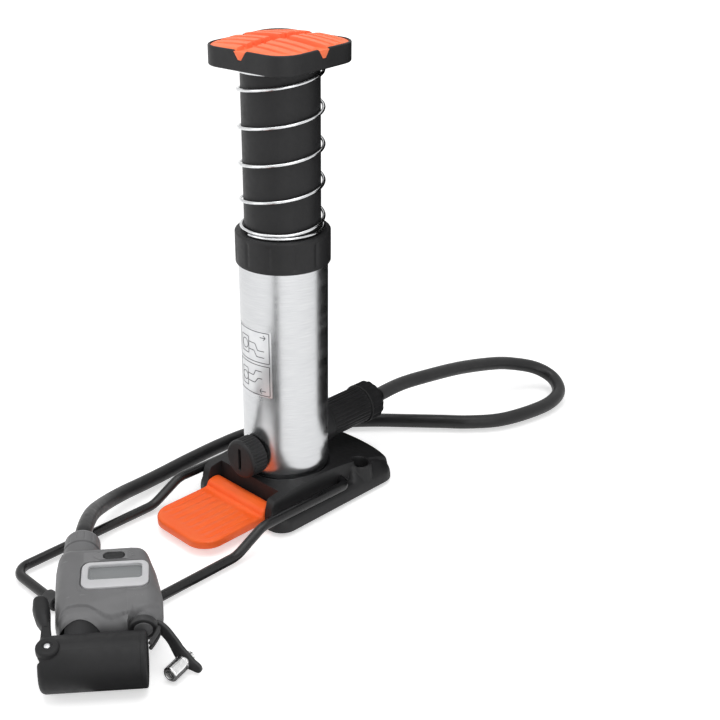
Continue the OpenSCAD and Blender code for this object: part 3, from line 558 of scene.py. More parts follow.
def coat(material, *names):
    """Gives CAD nodes that keep their own shape a material."""
    for name in names:
        node = frame["nodes"][name]
        if not node.material_slots:
            node.data.materials.append(material)
        for holder in node.material_slots:
            holder.material = material


def carve(obj, *cutters, sharp=SHARP):
    """Cuts closed parts, in millimetres, out of a piece."""
    for pts, faces in cutters:
        mesh = bpy.data.meshes.new("cutter")
        mesh.from_pydata((np.asarray(pts) * MM).tolist(), [], faces)
        tidy(mesh, sharp)
        tool = new_object("cutter", mesh)
        cut = obj.modifiers.new("cut", "BOOLEAN")
        cut.operation, cut.solver, cut.object = "DIFFERENCE", "EXACT", tool
        bpy.context.view_layer.update()
        done = bpy.data.meshes.new_from_object(obj.evaluated_get(bpy.context.evaluated_depsgraph_get()))
        obj.modifiers.clear()
        obj.data = done
        bpy.data.objects.remove(tool)
    obj.data.shade_smooth()
    obj.data.set_sharp_from_angle(angle=math.radians(sharp))
    return obj


def spun(part, degrees):
    """A part turned about Z."""
    a = math.radians(degrees)
    return part[0] @ np.array([[math.cos(a), math.sin(a), 0], [-math.sin(a), math.cos(a), 0],
                               [0, 0, 1]]), part[1]


def block(x0, x1, y0, y1, z0, z1):
    """A plain box to cut with."""
    return layered(np.array([(x0, y0), (x1, y0), (x1, y1), (x0, y1)], float), [(0, z0), (0, z1)])


def along_y(part, x=0.0, z=0.0):
    """A part turned about its axis, laid along Y: its height becomes Y."""
    return turn_to(part, (x, 0, z), (0, 1, 0))


def along_x(part, origin=(0, 0, 0)):
    """A part turned about its axis, laid along X from an origin: its height becomes X."""
    return turn_to(part, origin, (1, 0, 0), (0, 1, 0))


def moved(part, by):
    """A part shifted by a vector."""
    return part[0] + by, part[1]


def cylinder(r, low, high, n):
    """A plain cylinder about Z to cut with, or to be cut."""
    return turned(np.array([(r, low), (r, high)], float), n)


def with_run(profile, after, r, low, high, n):
    """Puts n points at radius r, from height low to high, before a profile's first point above a height."""
    k = int(np.argmax(profile[:, 1] > after))
    return np.vstack([profile[:k], np.stack([np.full(n, r), np.linspace(low, high, n)], 1), profile[k:]])


def flutes(count, depth, power, start, end, least, above=-np.inf):
    """A shape for turned(): grooves of a depth along the height, round the part whose radius is over least
    and whose height is over above. r = radius - depth * (half of 1 + cos(count * angle)) ^ power, faded at
    the start and the end, each given as (height, length of the fade). A higher power makes narrower
    grooves."""
    def shape(a, r, z):
        groove = depth * (0.5 + 0.5 * np.cos(count * a)) ** power
        fade_in, fade_out = smooth((z - start[0]) / start[1]), smooth((end[0] - z) / end[1])
        return np.where((r > least) & (z > above), r - groove * fade_in * fade_out, r)
    return shape


# ---------------------------------------------------------------- hose

ROUTE = [(0, 40, 30.5), (0, 54, 30.5), (0, 70, 30.5), (-1, 93, 30), (1, 118, 28), (3, 142, 25), (7, 166, 21),
         (11, 181, 17.5), (20, 195, 13), (31, 199, 8.5), (41.5, 191.5, 5.4), (45.5, 177, 4.1), (44, 158, 4.1),
         (38, 138, 4.1), (27, 123, 4.1), (14, 111, 4.1), (1, 99, 4.1), (-12, 87, 4.1), (-24, 74, 4.1),
         (-38, 57, 4.1), (-49, 38, 4.1), (-54.5, 18, 4.1), (-55.6, 0, 4.1), (-55.3, -16, 4.1),
         (-54.5, -31, 4.1), (-53, -46, 4.4), (-51, -60, 5.4), (-48.3, -73, 7.2), (-43.5, -85.5, 10),
         (-36.5, -97, 14),
         (-27.5, -107.8, 18.9), (-17.5, -117.5, 23)]
HOSE_R = 4.0


def make_hose():
    """A round tube 8 mm thick along one smooth curve through the route, from inside the gland to the head's
    mouth. It ends in a half ball about the point where the head turns on it, and the head carries the last
    8 mm as a piece of its own with the same half ball, so that the two stay joined at any lift."""
    way = curve_through(ROUTE + [tuple(MOUTH + 7 * V), tuple(MOUTH + 2 * V)], 8)
    path = np.vstack([way, MOUTH - HOSE_R * V])
    hose = piece("hose_tube", [round_rod(path, HOSE_R, 28)], HOSE_RUBBER, None)
    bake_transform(hose)
    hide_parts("hose")
    tail = np.array([MOUTH + HOSE_R * V, MOUTH - 7.9 * V])
    piece("hose_tail", [round_rod(resampled(tail, 12), HOSE_R, 28)], HOSE_RUBBER, "head")


# ---------------------------------------------------------------- piston, spring and pedal

COLLAR_TOP, PEDAL_LOW, PEDAL_TOP = 149.5, 231.0, 240.5


def make_spring():
    """A helix of 1.6 mm wire: 6.62 turns at radius 20.5, of which 1.2 at each end lie shut, with the change
    of pitch smoothed over an eighth of a turn."""
    low, high, turns, dead, shut = COLLAR_TOP + 0.82, PEDAL_LOW - 0.82, 6.62, 1.2, 1.68
    t = np.linspace(0, turns, 520)
    z = np.interp(t, [0, dead, turns - dead, turns], [low, low + dead * shut, high - dead * shut, high])
    k = np.hanning(23)
    z = np.convolve(np.pad(z, 11, "reflect", reflect_type="odd"), k / k.sum(), "valid")
    a = 2 * math.pi * t - math.radians(98)
    path = np.stack([20.5 * np.cos(a), 20.5 * np.sin(a), z], 1)
    spring = piece("spring_coil", [round_rod(path, 0.8, 16)], SPRING_STEEL, "base",
                   ["return_spring"])
    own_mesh(spring)


def make_piston_tube():
    """The black tube under the pedal: a wall 1.8 mm thick with slightly rounded rims."""
    wall = np.array([(17.3, 126), (18.8, 126), (19.1, 126.3), (19.1, 235.7), (18.8, 236), (17.3, 236)])
    piece("piston_tube_skin", [turned(wall, 160, closed=True)], TUBE_BLACK, "piston",
          ["piston_tube"])


PEDAL_W, PEDAL_R, PEDAL_TURN = 54.5, 12.0, 5.0
GROOVES = (8, 14, 20)
PAD_FLOOR, PAD_UNDER = 239.7, 237.5


def vee(grow, low, high, inner, outer):
    """The V-shaped inlay of the pedal's side as a block between two distances from the axis, cut off at a
    height, on all four sides. Its walls meet the middle 4.4 mm below the rim."""
    f = np.interp(high - PEDAL_TOP, [-4.4, 0], [1, 4])
    plan = np.array([(-f - grow, high), (-1 - grow, low), (1 + grow, low), (f + grow, high)])
    plan = resampled(soft(np.column_stack([plan, [0.05, 0.5, 0.5, 0.05]]), True, 4), 40, True)
    one = layered(plan, [(0, inner), (0, outer - 0.2), (0.05, outer - 0.06), (0.2, outer)])
    one = turn_to(one, (0, 0, 0), (0, -1, 0))
    return [spun(one, 90 * k + PEDAL_TURN) for k in range(4)]


def make_pedal_shell():
    """One closed stack of rings: up the tube's socket, over the skirt, round the rim and down into the pad's
    recess. A ring is a circle or the rounded square, with points at the same directions."""
    plan = resampled(rounded_box(PEDAL_W, PEDAL_W, PEDAL_R, 12), 240, True)
    round_way = unit(plan)
    rings = [ring_at(round_way * r, z) for r, z in
             [(19.14, 236), (19.14, 231.3), (19.5, 231), (22.3, 231), (22.7, 231.3), (22.7, 234.2)]]
    rings += [ring_at(inset(plan, e), z) for e, z in [(2.5, 234.2), (2.4, 231.2), (2.2, 231)]]
    rings += [ring_at(inset(plan, e), z) for e, z in edge_round(PEDAL_LOW, PEDAL_TOP, 0.75)]
    rings += [ring_at(inset(plan, e), z) for e,
              z in [(0.95, 240.5), (1.15, 240.3), (1.2, 240), (1.2, PAD_UNDER)]]
    shell = piece("pedal_shell_skin", [spun(capped(np.stack(rings)), PEDAL_TURN)], NYLON, "piston",
                  ["pedal_shell"])
    cuts = [spun(turn_to(layered(np.array([(-4.3, 240.9), (-1, 236.1), (1, 236.1), (4.3, 240.9)]),
                                 [(0, 25.9), (0, 28)]), (0, 0, 0), (0, -1, 0)), 90 * k + PEDAL_TURN)
            for k in range(4)]
    carve(shell, *cuts)


def make_pedal_pad():
    """A height over the rounded square: a shallow dome of radius 175 mm, minus a cross of channels 6 mm
    wide down to a flat floor, minus three grooves 1.8 mm wide on each side whose flat floor the dome falls
    to, with every rim rounded. Rows follow Y and columns X, held to the outline."""
    w, r, floor, groove, top = PEDAL_W - 2.44, PEDAL_R - 1.22, PAD_FLOOR, 240.2, PEDAL_TOP + 2.5

    def fine(marks):
        s = np.concatenate([np.linspace(-w / 2, w / 2, 111)]
                           + [m + np.linspace(-0.45, 0.45, 7) for m in marks])
        return np.unique(np.round(np.clip(s, -w / 2, w / 2), 3))

    edges = [e + h for e in GROOVES for h in (-0.9, 0.9)] + [3]
    ys = fine([-m for m in edges] + edges + [-25.4, 25.4])
    xs = fine([-3, 3, -25.4, 25.4])
    over = np.clip(np.abs(ys) - (w / 2 - r), 0, r)
    half = w / 2 - r + np.sqrt(np.maximum(r * r - over * over, 0))
    x = np.clip(xs[None, :], -half[:, None], half[:, None])
    y = np.broadcast_to(ys[:, None], x.shape)
    q = np.stack([np.abs(x), np.abs(y)]) - (w / 2 - r)
    depth = r - np.linalg.norm(np.maximum(q, 0), axis=0) - np.minimum(q.max(0), 0)
    dome = top - (x * x + y * y) / 350
    near = np.min([np.abs(np.abs(y) - g) for g in GROOVES], axis=0)
    z = dome - np.maximum(dome - groove, 0) * smooth((1.15 - near) / 0.45)
    channel = np.maximum(smooth((3.3 - np.abs(x)) / 0.5), smooth((3.3 - np.abs(y)) / 0.5))
    z = z + (floor - z) * channel
    e = np.clip(depth / 1.3, 0, 1)
    z = floor + (z - floor) * np.sqrt(1 - (1 - e) ** 2)
    upper = np.stack([x, y, z], 2)
    lower = np.stack([x, y, np.full_like(x, PAD_UNDER)], 2)
    sheet = np.concatenate([lower[:, :1], upper, lower[:, -1:]], 1)
    sheet = np.concatenate([np.concatenate([lower[:1, :1], lower[:1], lower[:1, -1:]], 1), sheet,
                            np.concatenate([lower[-1:, :1], lower[-1:], lower[-1:, -1:]], 1)])
    parts = [spun(grid(sheet), PEDAL_TURN), spun(grid(lower), PEDAL_TURN)] + vee(-0.03, 236.15, 240.0, 26.05,
                                                                                 27.3)
    piece("pedal_pad_skin", parts, PAD_ORANGE, "piston", ["pedal_pad"], sharp=50)


# ---------------------------------------------------------------- barrel and what screws on it

PORT_Z = 30.5  # height of the axis of both ports in the barrel


def make_barrel():
    """The barrel is a tube wall with its rims eased; its two port holes are cut through. The collar is a ring
    with a lip inwards at the top and twelve soft flutes."""
    wall = np.array([(20.9, 14), (22.3, 14), (22.5, 14.2), (22.5, 145.8), (22.3, 146), (20.9, 146)])
    tube = piece("barrel_tube_skin", [turned(wall, 192, closed=True)], ALUMINIUM, "base",
                 ["barrel_tube"])
    carve(tube, along_y(cylinder(5, -40, 40, 48), 0, PORT_Z))
    ring = soft([(22.54, 133, 0.2), (23.9, 133, 0.5), (23.9, COLLAR_TOP, 0.9), (19.17, COLLAR_TOP, 0.4),
                 (19.17, 146.02, 0.1), (22.54, 146.02, 0.1)], True, 5)
    ring = with_run(ring, 140, 23.9, 134, 148.2, 24)
    grip = flutes(12, 0.42, 14, (134.5, 1.5), (147.8, 1.5), 23.5)
    piece("barrel_collar_skin", [turned(ring, 384, grip, True)], NYLON, "base",
          ["barrel_collar"])


def ribbon(corners, radius, thick, width):
    """A flat line wrapped on the barrel: corners are (angle in degrees, height); the line has a square
    section width wide and stands thick proud of radius."""
    c = np.array(corners, float)
    c[:, 0] = np.radians(c[:, 0]) * radius
    c = resampled(c, max(2, int(np.linalg.norm(np.diff(c, axis=0), axis=1).sum() / 0.6)))
    t = unit(np.gradient(c, axis=0))
    n = np.stack([-t[:, 1], t[:, 0]], 1) * width / 2
    a, b = c + n, c - n
    flat = np.stack([ring_at(a, radius), ring_at(a, radius + thick), ring_at(b, radius + thick),
                     ring_at(b, radius)], 1)
    ang, z, r = flat[..., 0] / radius, flat[..., 1], flat[..., 2]
    return capped(np.stack([r * np.cos(ang), r * np.sin(ang), z], 2))


def make_label():
    """A clear film let on to the barrel, with two framed pictures in thin grey line: a pump's foot lever
    folding out, and the hose's head on a valve. Lines only, no lettering."""
    a = np.radians(np.linspace(-120, -60, 49))
    rows = np.array([(22.53, 65.5), (22.62, 65.5), (22.65, 65.6), (22.65, 101.9), (22.62, 102), (22.53, 102)])
    film = np.stack([rows[None, :, 0] * np.cos(a)[:, None], rows[None, :, 0] * np.sin(a)[:, None],
                     np.broadcast_to(rows[None, :, 1], (49, 6))], 2)
    piece("label_film_skin", [capped(film)], FILM, "base", ["info_label"])
    box = lambda a0, a1, z0, z1: [(a0, z0), (a1, z0), (a1, z1), (a0, z1), (a0, z0)]
    circle = lambda a0, z0, r: [(a0 + math.degrees(r * math.cos(t) / 22.6), z0 + r * math.sin(t))
                                for t in np.linspace(0, 2 * math.pi, 25)]
    lines = [box(-118, -63, 84.5, 101.2), box(-118, -63, 66.2, 82.8),
             box(-112, -96, 88, 97), [(-96, 94.5), (-84, 94.5), (-80, 91), (-70, 91)],
             [(-96, 90.5), (-86, 90.5), (-82, 87.5), (-70, 87.5)], circle(-104, 92.5, 2.6),
             [(-76, 98.5), (-68, 98.5)], [(-71, 99.8), (-68, 98.5), (-71, 97.2)],
             box(-112, -99, 69.5, 79), [(-99, 76.5), (-88, 76.5), (-84, 79.5), (-74, 79.5)],
             [(-99, 72.5), (-86, 72.5), (-80, 75.5), (-74, 75.5)], circle(-105.5, 74.2, 2.4),
             [(-78, 68.6), (-69, 68.6)], [(-75, 70), (-78, 68.6), (-75, 67.2)]]
    piece("label_print", [ribbon(l, 22.655, 0.03, 0.42) for l in lines], INK, "base")


def make_gland():
    """The hose gland along +Y: a flange hollowed to the barrel's curve, a body with 28 fine flutes, and a nut
    with 14 scallops round a bore that the hose fills."""
    body = soft([(4.1, 10, 0), (11.3, 10, 0.1), (11.3, 26.5, 0.8), (10.3, 26.9, 0.3), (10.3, 56, 0.1),
                 (4.1, 56, 0)],
                True, 4)
    body = with_run(body, 40, 10.3, 28, 55, 30)
    fine = flutes(28, 0.45, 2, (28, 1.5), (55.6, 1), 9, 27.5)
    pts, faces = along_y(turned(body, 336, fine, True), 0, PORT_Z)
    x = np.clip(pts[:, 0], -22.5, 22.5)
    pts[:, 1] = np.maximum(pts[:, 1], np.sqrt(22.53 ** 2 - x ** 2))
    piece("hose_gland_skin", [(pts, faces)], NYLON, "base", ["hose_gland"])
    nut = soft([(4.1, 56.05, 0.2), (11.2, 56.05, 0.5), (11.2, 65, 1.0), (8.8, 67, 0.6), (4.1, 67, 0.5)], True,
               4)
    nut = with_run(nut, 60, 11.2, 57, 64.2, 24)
    scallops = flutes(14, 0.75, 1.5, (57, 1), (66, 1.5), 10)
    piece("gland_nut_skin", [along_y(turned(nut, 320, scallops, True), 0, PORT_Z)], NYLON, "base",
          ["gland_nut"])


def make_valve_cap():
    """The round cap in front: one stack of rings from the bottom of its slot, out over the face as the slot's
    outline turns into a circle, over the rim, along 34 flutes and back to its stem."""
    a = np.linspace(0, 2 * math.pi, 408, endpoint=False)
    way = np.stack([np.cos(a), np.sin(a)], 1)
    slot = way * np.minimum(1.0 / np.maximum(np.abs(way[:, 0]), 1e-9),
                            6.0 / np.maximum(np.abs(way[:, 1]), 1e-9))[:, None]
    wave = (0.5 - 0.5 * np.cos(34 * a))[:, None] ** 0.8
    blend_out = lambda t: slot * (1 - t) + way * 9.0 * t
    end, near = 33.3, 22.85
    rings = [ring_at(slot * 0.97, end - 3.6), ring_at(slot, end - 0.35),
             ring_at(slot * 1.03 + way * 0.08, end - 0.1),
             ring_at(slot + way * 0.25, end)]
    rings += [ring_at(blend_out(t), end) for t in (0.1, 0.25, 0.5, 0.75, 1.0)]
    rings += [ring_at(way * (9.0 + 1.5 * math.sin(t)), end - 1.5 * (1 - math.cos(t)))
              for t in np.linspace(0.2, math.pi / 2, 6)]
    rings += [ring_at(way * (10.5 - 0.5 * wave * k), z) for k, z in
              [(0.0, end - 1.6), (0.4, end - 1.9), (0.85, end - 2.3), (1, end - 2.8), (1, near + 0.6),
               (0.7, near + 0.3)]]
    rings += [ring_at(way * r, z) for r, z in [(9.9, near), (4.95, near), (4.95, 9)]]
    pts, faces = capped(np.stack(rings))
    pts = np.stack([pts[:, 0], -pts[:, 2], pts[:, 1] + PORT_Z], 1)
    piece("valve_cap_skin", [(pts, faces)], NYLON, "cap", ["valve_cap"])


# ---------------------------------------------------------------- base, foot tab and stand

BASE_W, BASE_FRONT, BASE_REAR = 70.0, 37.0, 58.0
PIVOT = (20, 13, 11)


def base_depth(x, y):
    """How far a point lies inside the base's outline: a rectangle with front corners of radius 9 and rear
    corners of radius 8, whose rear edge is an arc of radius 59.5."""
    w = BASE_W / 2
    front = np.minimum(w - np.abs(x), y + BASE_FRONT)
    cx, cy = np.maximum(np.abs(x) - (w - 9), 0), np.maximum(-(y + BASE_FRONT - 9), 0)
    front = np.where((cx > 0) & (cy > 0), 9 - np.hypot(cx, cy), front)
    rear = 59.5 - np.hypot(x, y - (BASE_REAR - 59.5))
    side = w - np.abs(x)
    k = 4.5
    h = np.clip(0.5 + 0.5 * (rear - side) / k, 0, 1)
    rear = rear * (1 - h) + side * h - k * h * (1 - h)
    return np.where(y > 0, np.minimum(rear, front), front)


def round_step(d, r):
    """A quarter-round rise from 0 to 1 as d goes from 0 to r."""
    e = np.clip(d / r, 0, 1)
    return np.sqrt(1 - (1 - e) ** 2)


def soft_max(a, b, k):
    """The larger of a and b with a fillet of size k where they meet."""
    h = np.clip(0.5 + 0.5 * (a - b) / k, 0, 1)
    return b + (a - b) * h + k * h * (1 - h)


def make_base():
    """The moulded base as a height over its outline. A skirt rises with a lean to the ledges; the deck is a
    low crown of radius 170 between x = +-28, whose walls lean out, and spreads over the whole width behind
    the legs. Cut into it: a seat and a ring round the barrel, troughs along the ledges for the legs, and
    two round screw wells with raised rims. Ears stand in front. The underside is the same grid with its
    pockets."""
    lines = lambda marks: np.concatenate([m + np.linspace(-0.8, 0.8, 5) for m in marks])
    xs = np.concatenate([np.linspace(-35, 35, 90), lines([-35, -28, -22.5, 22.5, 28, 35]),
                         np.linspace(-32.6, -21.4, 34), np.linspace(21.4, 32.6, 34)])
    ys = np.concatenate([np.linspace(-BASE_FRONT, BASE_REAR, 120), lines([-BASE_FRONT, -24.5, 20, BASE_REAR]),
                         np.linspace(23.4, 34.6, 34)])
    xs = np.unique(np.round(np.clip(xs, -35, 35), 3))
    ys = np.unique(np.round(np.clip(ys, -BASE_FRONT, BASE_REAR), 3))
    y = ys[:, None] + 0 * xs[None, :]
    probe = np.linspace(0, 35, 1401)
    inside = base_depth(probe[None, :], ys[:, None]) >= 0
    half = np.where(inside.all(1), 35.0, probe[np.argmax(~inside, 1) - 1])
    x = np.clip(xs[None, :], -half[:, None], half[:, None])
    d = np.maximum(base_depth(x, y), 0)
    skirt = 1.4 + 6.8 * round_step(d, 3.6)
    crown = 20 - 170 + np.sqrt(170 ** 2 - (y + 5) ** 2)
    wall = 8.2 + (crown - 8.2) * smooth((28.3 - np.abs(x)) / 1.0)
    rear = 8.2 + (crown - 8.2) * smooth((d - 0.4) / 9.5) * smooth((y - 17.5) / 5.5)
    top = np.minimum(skirt, 8.2)
    deck = np.maximum(np.where(np.abs(x) < 29, wall, 0), rear)
    rise = round_step(d, 3.0)
    top = np.maximum(top, 1.4 + (deck - 1.4) * rise)
    top = np.minimum(top, crown)
    ear = 10.5 + np.sqrt(np.maximum(8.5 ** 2 - (y + 33) ** 2, 0)) - 2.0
    ear = np.minimum(ear, 16.5) * smooth((np.abs(x) - 22.3) / 0.4) * smooth((28.2 - np.abs(x)) / 0.8)
    ear = ear * (y < -24.5) * rise ** 0.5
    top = np.maximum(top, ear)
    radius = np.hypot(x, y)
    top = np.where(radius < 24.8, top + (18.2 - top) * smooth((24.6 - radius) / 0.6) * (top > 18.2), top)
    top = top + (14 - top) * smooth((22.8 - radius) / 0.5)
    well = np.hypot(np.abs(x) - 27, y - 29)
    rim = 14.9 * np.sqrt(1 - np.clip((well - 5.7) / 1.3, 0, 1) ** 2)
    top = np.where(well < 8.5, soft_max(top, rim, 1.6), top)
    top = top + (10.2 - top) * smooth((5.0 - well) / 0.8)
    under = np.full_like(top, 0.8)
    inner = base_depth(x, y) - 3
    rib = np.min([np.abs(np.abs(x) - 12), np.abs(y), np.abs(y - 23), np.abs(y + 25.5) - 0.5], axis=0) - 1
    posts = np.min([radius - 11, np.hypot(np.abs(x) - 27, y - 29) - 4.5,
                    np.hypot(np.abs(x) - 24, y - 40) - 6.5,
                    np.hypot(np.abs(x) - 25, y + 20) - 6.5], axis=0)
    pocket = smooth(np.min([inner, rib, posts], axis=0) / 0.5)
    under = under + 4.7 * pocket
    under = np.minimum(under, top - 0.3)
    upper, lower = np.stack([x, y, top], 2), np.stack([x, y, under], 2)
    base = piece("base_plate_skin", [grid(shell_of(upper, lower))], NYLON, "base",
                 ["base_plate"],
                 sharp=48)
    rod = along_x(cylinder(2.56, 0, 18, 48), PIVOT)
    carve(base, block(-22.5, 22.5, -60, -27, -5, 40), rod, (rod[0] * [-1, 1, 1], rod[1]), sharp=48)
    softened("base_feet", 0.3, RUBBER)
    softened("base_screws", 0.15, BLACK_STEEL)


def make_foot_tab():
    """The orange tab as a height over its outline: a plate with seven ribs along Y that fade at their ends, a
    hollow step, and a roll of radius 5.5 round the pin. The rims are rounded; its underside is the same grid
    with its own height. Rows follow Y, closer where the roll is steep."""
    w, reach, back, pin, roll, low, top, r = 22.2, 78.0, -33.0, 6.5, 5.5, 3.0, 8.0, 12.0
    fan = back - roll * np.cos(np.linspace(0, math.pi, 50))
    flat = [np.linspace(-reach, -reach + 2, 14), np.linspace(-reach + 2, back - roll, 110)]
    y = np.unique(np.round(np.concatenate(flat + [fan]), 4))
    rim = np.linspace(0, 1.4, 8)
    x0 = np.unique(np.round(np.concatenate([np.linspace(-w, w, 260), w - rim, rim - w]), 4))
    into = np.clip(r - (y + reach), 0, r)
    half = w - r + np.sqrt(np.maximum(r * r - into * into, 0))
    x = np.clip(x0[None, :], -half[:, None], half[:, None])
    y = np.broadcast_to(y[:, None], x.shape)
    qx, qy = np.abs(x) - (w - r), np.maximum(r - (y + reach), -50)
    corner = r - np.hypot(np.maximum(qx, 0), np.maximum(qy, 0))
    depth = np.minimum(corner, w - np.abs(x))
    bump = np.sqrt(np.maximum(roll * roll - (y - back) ** 2, 0))
    run = smooth((y + reach - 5.5) / 4) * smooth((back - roll - 3 - y) / 4) * smooth((w - 3.2 - np.abs(x))
                                                                                     / 1.2)
    ribs = 0.55 * (0.5 + 0.5 * np.cos(2 * math.pi * x / 5.0)) ** 0.7 * run - 0.45 * run
    step = -0.5 * np.exp(-((y - (back - roll - 2)) / 2.2) ** 2) * smooth(depth / 3)
    plate = top + ribs + step
    rise = np.where(y > back - roll, pin + bump, 0)
    over = np.maximum(plate, rise)
    over = np.where(y > back + 0.5, pin + bump, over)
    soft_join = np.exp(-((y - (back - roll + 1.1)) / 1.6) ** 2) * 0.7
    over = np.where(y < back - 2, over + soft_join, over)
    under = np.where(y > back - roll * 0.77, pin - bump, low)
    under = np.where(y > back + 0.5, pin - bump, under)
    e = np.clip(depth / 1.3, 0, 1)
    ease = 1 - np.sqrt(1 - (1 - e) ** 2)
    upper = np.stack([x, y, over - 1.3 * ease], 2)
    lower = np.stack([x, y, np.minimum(under + 1.0 * ease, over - 1.3 * ease)], 2)
    tab = piece("foot_tab_skin", [grid(shell_of(upper, lower))], TAB_ORANGE, "tab",
                ["foot_tab"],
                sharp=50)
    carve(tab, along_x(cylinder(1.58, -30, 30, 48), (0, back, pin)), sharp=50)


def shell_of(upper, lower):
    """One closed sheet from two height grids: up the rim on one side, over the top, down the other side and
    back underneath, with the first and the last row folded shut."""
    row = np.concatenate([upper, lower[:, ::-1]], 1)
    first = np.concatenate([lower[:1], lower[:1, ::-1]], 1)
    last = np.concatenate([lower[-1:], lower[-1:, ::-1]], 1)
    whole = np.concatenate([first, row, last])
    return np.concatenate([whole, whole[:, :1]], 1)


ROD_R, CROSSBAR_Y = 2.5, -152


def make_stand():
    """Round rod 5 mm thick, bent to one frame: in at the two pivots, down the legs in an S and along the
    floor to the crossbar. Every bend is an arc, radius 5, 15 or 8."""
    side = [(20.4, 13, 11, 0), (33.5, 13, 11, 5), (33.5, -48, 12, 15), (33.5, -66, ROD_R, 15),
            (33.5, CROSSBAR_Y, ROD_R, 8)]
    corners = [(-x, y, z, f) for x, y, z, f in side] + side[::-1]
    path = soft(corners, steps=10)
    long_parts = [resampled(path[i:i + 2], max(2, int(np.linalg.norm(path[i + 1] - path[i]) / 3) + 1))[:-1]
                  for i in range(len(path) - 1)]
    piece("stand_rod", [steady_rod(np.vstack(long_parts + [path[-1:]]), ROD_R, 28)], COAT, "stand",
          ["wire_stand"])
    sleeve = soft([(2.53, -4, 0.1), (4.0, -4, 0.7), (4.0, 4, 0.7), (2.53, 4, 0.1)], True, 5)
    sleeve = along_x(turned(sleeve, 64, closed=True), (0, CROSSBAR_Y, ROD_R))
    piece("stand_sleeve_skin", [sleeve], RUBBER, "stand", ["stand_sleeve"])


def steady_rod(path, r, n):
    """A round rod whose section turns as little as possible from point to point, with flat eased ends."""
    t = unit(np.gradient(path, axis=0))
    side = unit(np.cross(t[0], (0, 0, 1)))
    sides = []
    for k in range(len(t)):
        side = unit(side - (side @ t[k]) * t[k])
        sides.append(side)
    sides = np.array(sides)
    above = np.cross(sides, t)
    ring = ring_section(n) * r
    body = path[:, None, :] + ring[None, :, :1] * sides[:, None, :] + ring[None, :, 1:] * above[:, None, :]
    near = path[0] + (body[0] - path[0]) * 0.85
    far = path[-1] + (body[-1] - path[-1]) * 0.85
    body[0] = path[0] + 0.4 * t[0] + (body[0] - path[0])
    body[-1] = path[-1] - 0.4 * t[-1] + (body[-1] - path[-1])
    return capped(np.concatenate([near[None], body, far[None]]))


# ---------------------------------------------------------------- gauge head

def head_plan():
    """The shell's outline over the display: broad towards the hose, cut back at the strap's ring."""
    corners = [(-15.2, 12.7, 1.0), (-17.6, 19, 6), (-18.9, 36, 30), (-19.4, 50, 12), (-18.6, 60.6, 6),
               (15.5, 61.2, 5), (22.6, 60.2, 7), (26.9, 46, 30), (29.4, 33, 20), (29.6, 24, 4),
               (26.8, 17.4, 3), (15.0, 16.7, 1.0), (14.4, 12.7, 0.8)]
    return resampled(soft(corners, True, 10), 420, True)


# Places in the head's own frame (u, v): middles of the display's window and bezel, of the button, the lever's
# pin and the strap's peg, and u of the hose's collar and of the nozzle's neck.
WINDOW_AT, BEZEL_AT, BUTTON_AT = (8.6, 41.2), (8.6, 39.5), (7.8, 51.2)
PIN_AT, PEG_AT = (-18.3, -1.5), (21.1, 4.3)
COLLAR_U, NECK_U = -8.7, -6.3
SPINE = ((-6, 28), (14, 48))
SCREWS_AT = [(20.5, 27.6), (-8.5, 30), (-10.5, 47), (19, 49)]

# Lines across the shell's upper face, as (u, v), and its greatest height.
V_CREASE = [(-19, 14), (-16.5, 17), (-14, 20.5), (-11, 22.6), (-7, 23.2), (-3, 22.8), (0.6, 20.8),
            (4.5, 18.1),
            (7.5, 17.2), (12, 18.0), (17, 19.6), (22, 21.5), (28, 24.5)]
ARCH = [(-18, 9), (-15.8, 11.6), (-13, 14.2), (-9.8, 15.7), (-6, 16.1), (-2.2, 15.4), (1.2, 13.4),
        (3.2, 11.6), (12, 9)]
FACET = [(-3, 22.6), (5.4, 25.4), (13.9, 28.2), (22, 30), (31, 32)]
TOP = 12.8


def head_height(u, v):
    """Height of the shell's upper face: a plate round the display at 12.8 with a low step round its lower
    half, a gentle fall in front of it, a steeper one beyond the facet line on the right, a step down at the
    V-shaped crease and a raised lip along the neck's arch. A low lens-shaped mound, where two circles of
    radius 13.5 overlap, carries the button."""
    qu, qv = np.abs(u - 8.6) - 11.2, np.abs(v - 39.3) - 4.4
    plate = np.hypot(np.maximum(qu, 0), np.maximum(qv, 0)) + np.minimum(np.maximum(qu, qv), 0) - 5.6
    fall = 0.55 * smooth((plate + 0.4) / 0.9) * smooth((42 - v) / 8) + np.maximum(31 - v, 0) * 0.035
    line_v, edge_v, arch_v = [np.interp(u, *np.transpose(line)) for line in (FACET, V_CREASE, ARCH)]
    fall = fall + 1.3 * (1 - np.exp(-0.28 * soft_max(line_v - v, 0, 0.5))) * smooth((u + 5) / 8)
    fall = fall + 1.25 * smooth((edge_v - v) / 1.1)
    lip = smooth((arch_v + 1.5 - v) / 0.6)
    far = np.maximum(np.abs(u - 4.5) - 12, 0)
    lens = np.maximum(np.hypot(u - 7.8, v - 51.3 + 9.6), np.hypot(u - 7.8, v - 51.3 - 9.6)) - 13.5
    return TOP - fall + 0.5 * lip - 0.006 * far ** 2 + 0.5 * smooth(0.5 - lens / 0.8)


